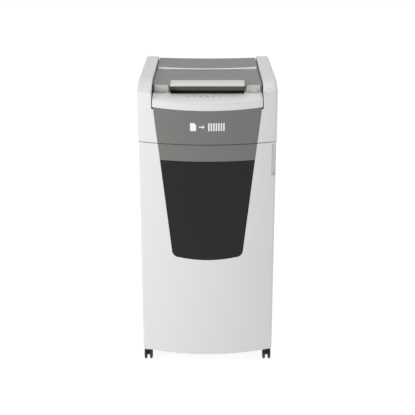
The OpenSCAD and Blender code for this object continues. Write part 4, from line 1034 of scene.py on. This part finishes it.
wheel_inset = 0.0048
tyre_loop = np.array([[14.0, -4.3], [16.4, -4.3], [18.4, -3.7], [19.6, -2.4], [20, -0.8], [20, 0.8],
                      [19.6, 2.2],
                      [18.2, 3.4], [16.2, 4.1], [14.0, 4.3], [14.0, -4.3]])
hub_loop = np.array([[0.001, -3.5], [3.6, -3.5], [4.4, -4.2], [5.6, -4.2], [6.2, -2.6], [12.6, -2.6],
                     [14.2, -4.1],
                     [14.2, 4.1], [12.6, 2.6], [6.2, 2.6], [5.6, 4.2], [4.4, 4.2], [3.6, 3.5], [0.001, 3.5]])
for corner in ("fl", "fr", "rl", "rr"):
    low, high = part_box(f"caster_{corner}_wheels")
    axle_y, axle_z = (low.y + high.y) / 2, (low.z + high.z) / 2
    scale = (high.z - low.z) / 2 / 20.0
    parts = {"tyre": (tyre_loop, "tyre"), "hub": (hub_loop, "black_plastic")}
    for part, (loop, finish) in parts.items():
        grids = [as_grid(lathe(loop[:, 0] * scale, side * loop[:, 1] / 1000, (x, axle_y, axle_z)),
                         (x, axle_y, axle_z))
                 for side, x in ((-1, low.x + wheel_inset), (1, high.x - wheel_inset))]
        if part == "hub":
            rod = np.array([[0.0001, low.x + 0.002], [0.003, low.x + 0.002], [0.003, high.x - 0.002],
                            [0.0001, high.x - 0.002]])
            grids.append(as_grid(lathe(rod[:, 0], rod[:, 1], (0, axle_y, axle_z), 24),
                                 ((low.x + high.x) / 2, axle_y, axle_z)))
        replaced = (f"caster_{corner}_wheels",) if part == "tyre" else ()
        mesh_piece(f"caster_{corner}_{part}", *join_grids(*grids), finish, f"wheels_{corner}", replaced)
print("wheels are", round((high.z - low.z) * 1000, 1), "mm across")

# %% [markdown]
# ## Everything else
# The inner works already have their true shapes in the CAD model. Plain outer
# mouldings and panels get a copy with rounded edges, because a real edge always
# shows a thin bright line. Gears, boards and shafts keep their CAD meshes, and every
# one takes the finish of its slot. The springs get a softened copy with a mesh of its own.

# %% Softened copies and the finishes of the rest
body_of = {n: b for b, members in frame["record"]["behaviour"]["bodies"].items() for n in members}
slot_of = {part["node"]: part["material_slot"] for part in frame["record"]["subparts"]}
softened = {"side_panel_left": 0.0006, "side_panel_right": 0.0006, "back_panel": 0.0006,
            "rear_cover": 0.0006,
            "lid_corners": 0.0005, "base_tray": 0.0008, "caster_fl_fork": 0.0007, "caster_fr_fork": 0.0007,
            "caster_rl_fork": 0.0007, "caster_rr_fork": 0.0007, "power_switch": 0.0003,
            "power_rocker": 0.0003,
            "door_liner": 0.0004, "door_grip": 0.0004, "bin": 0.0006, "paper_tray": 0.0005,
            "pressure_plate": 0.0004}
for node, width in softened.items():
    finish = "white_plastic" if node == "door_grip" else slot_of[node]
    soften(node, finish, body_of[node], width)
springs = soften("platen_springs", slot_of["platen_springs"], "lid", 0.0001)
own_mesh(springs)
kept = [n for n in nodes if not nodes[n].hide_render]
for node in kept:
    materials = nodes[node].data.materials
    materials.clear()
    materials.append(finishes[slot_of[node]])
print(len(softened), "nodes softened,", len(kept), "kept as they are")

# %% [markdown]
# At the end the view layer is brought up to date.

# %% Finish
bpy.context.view_layer.update()
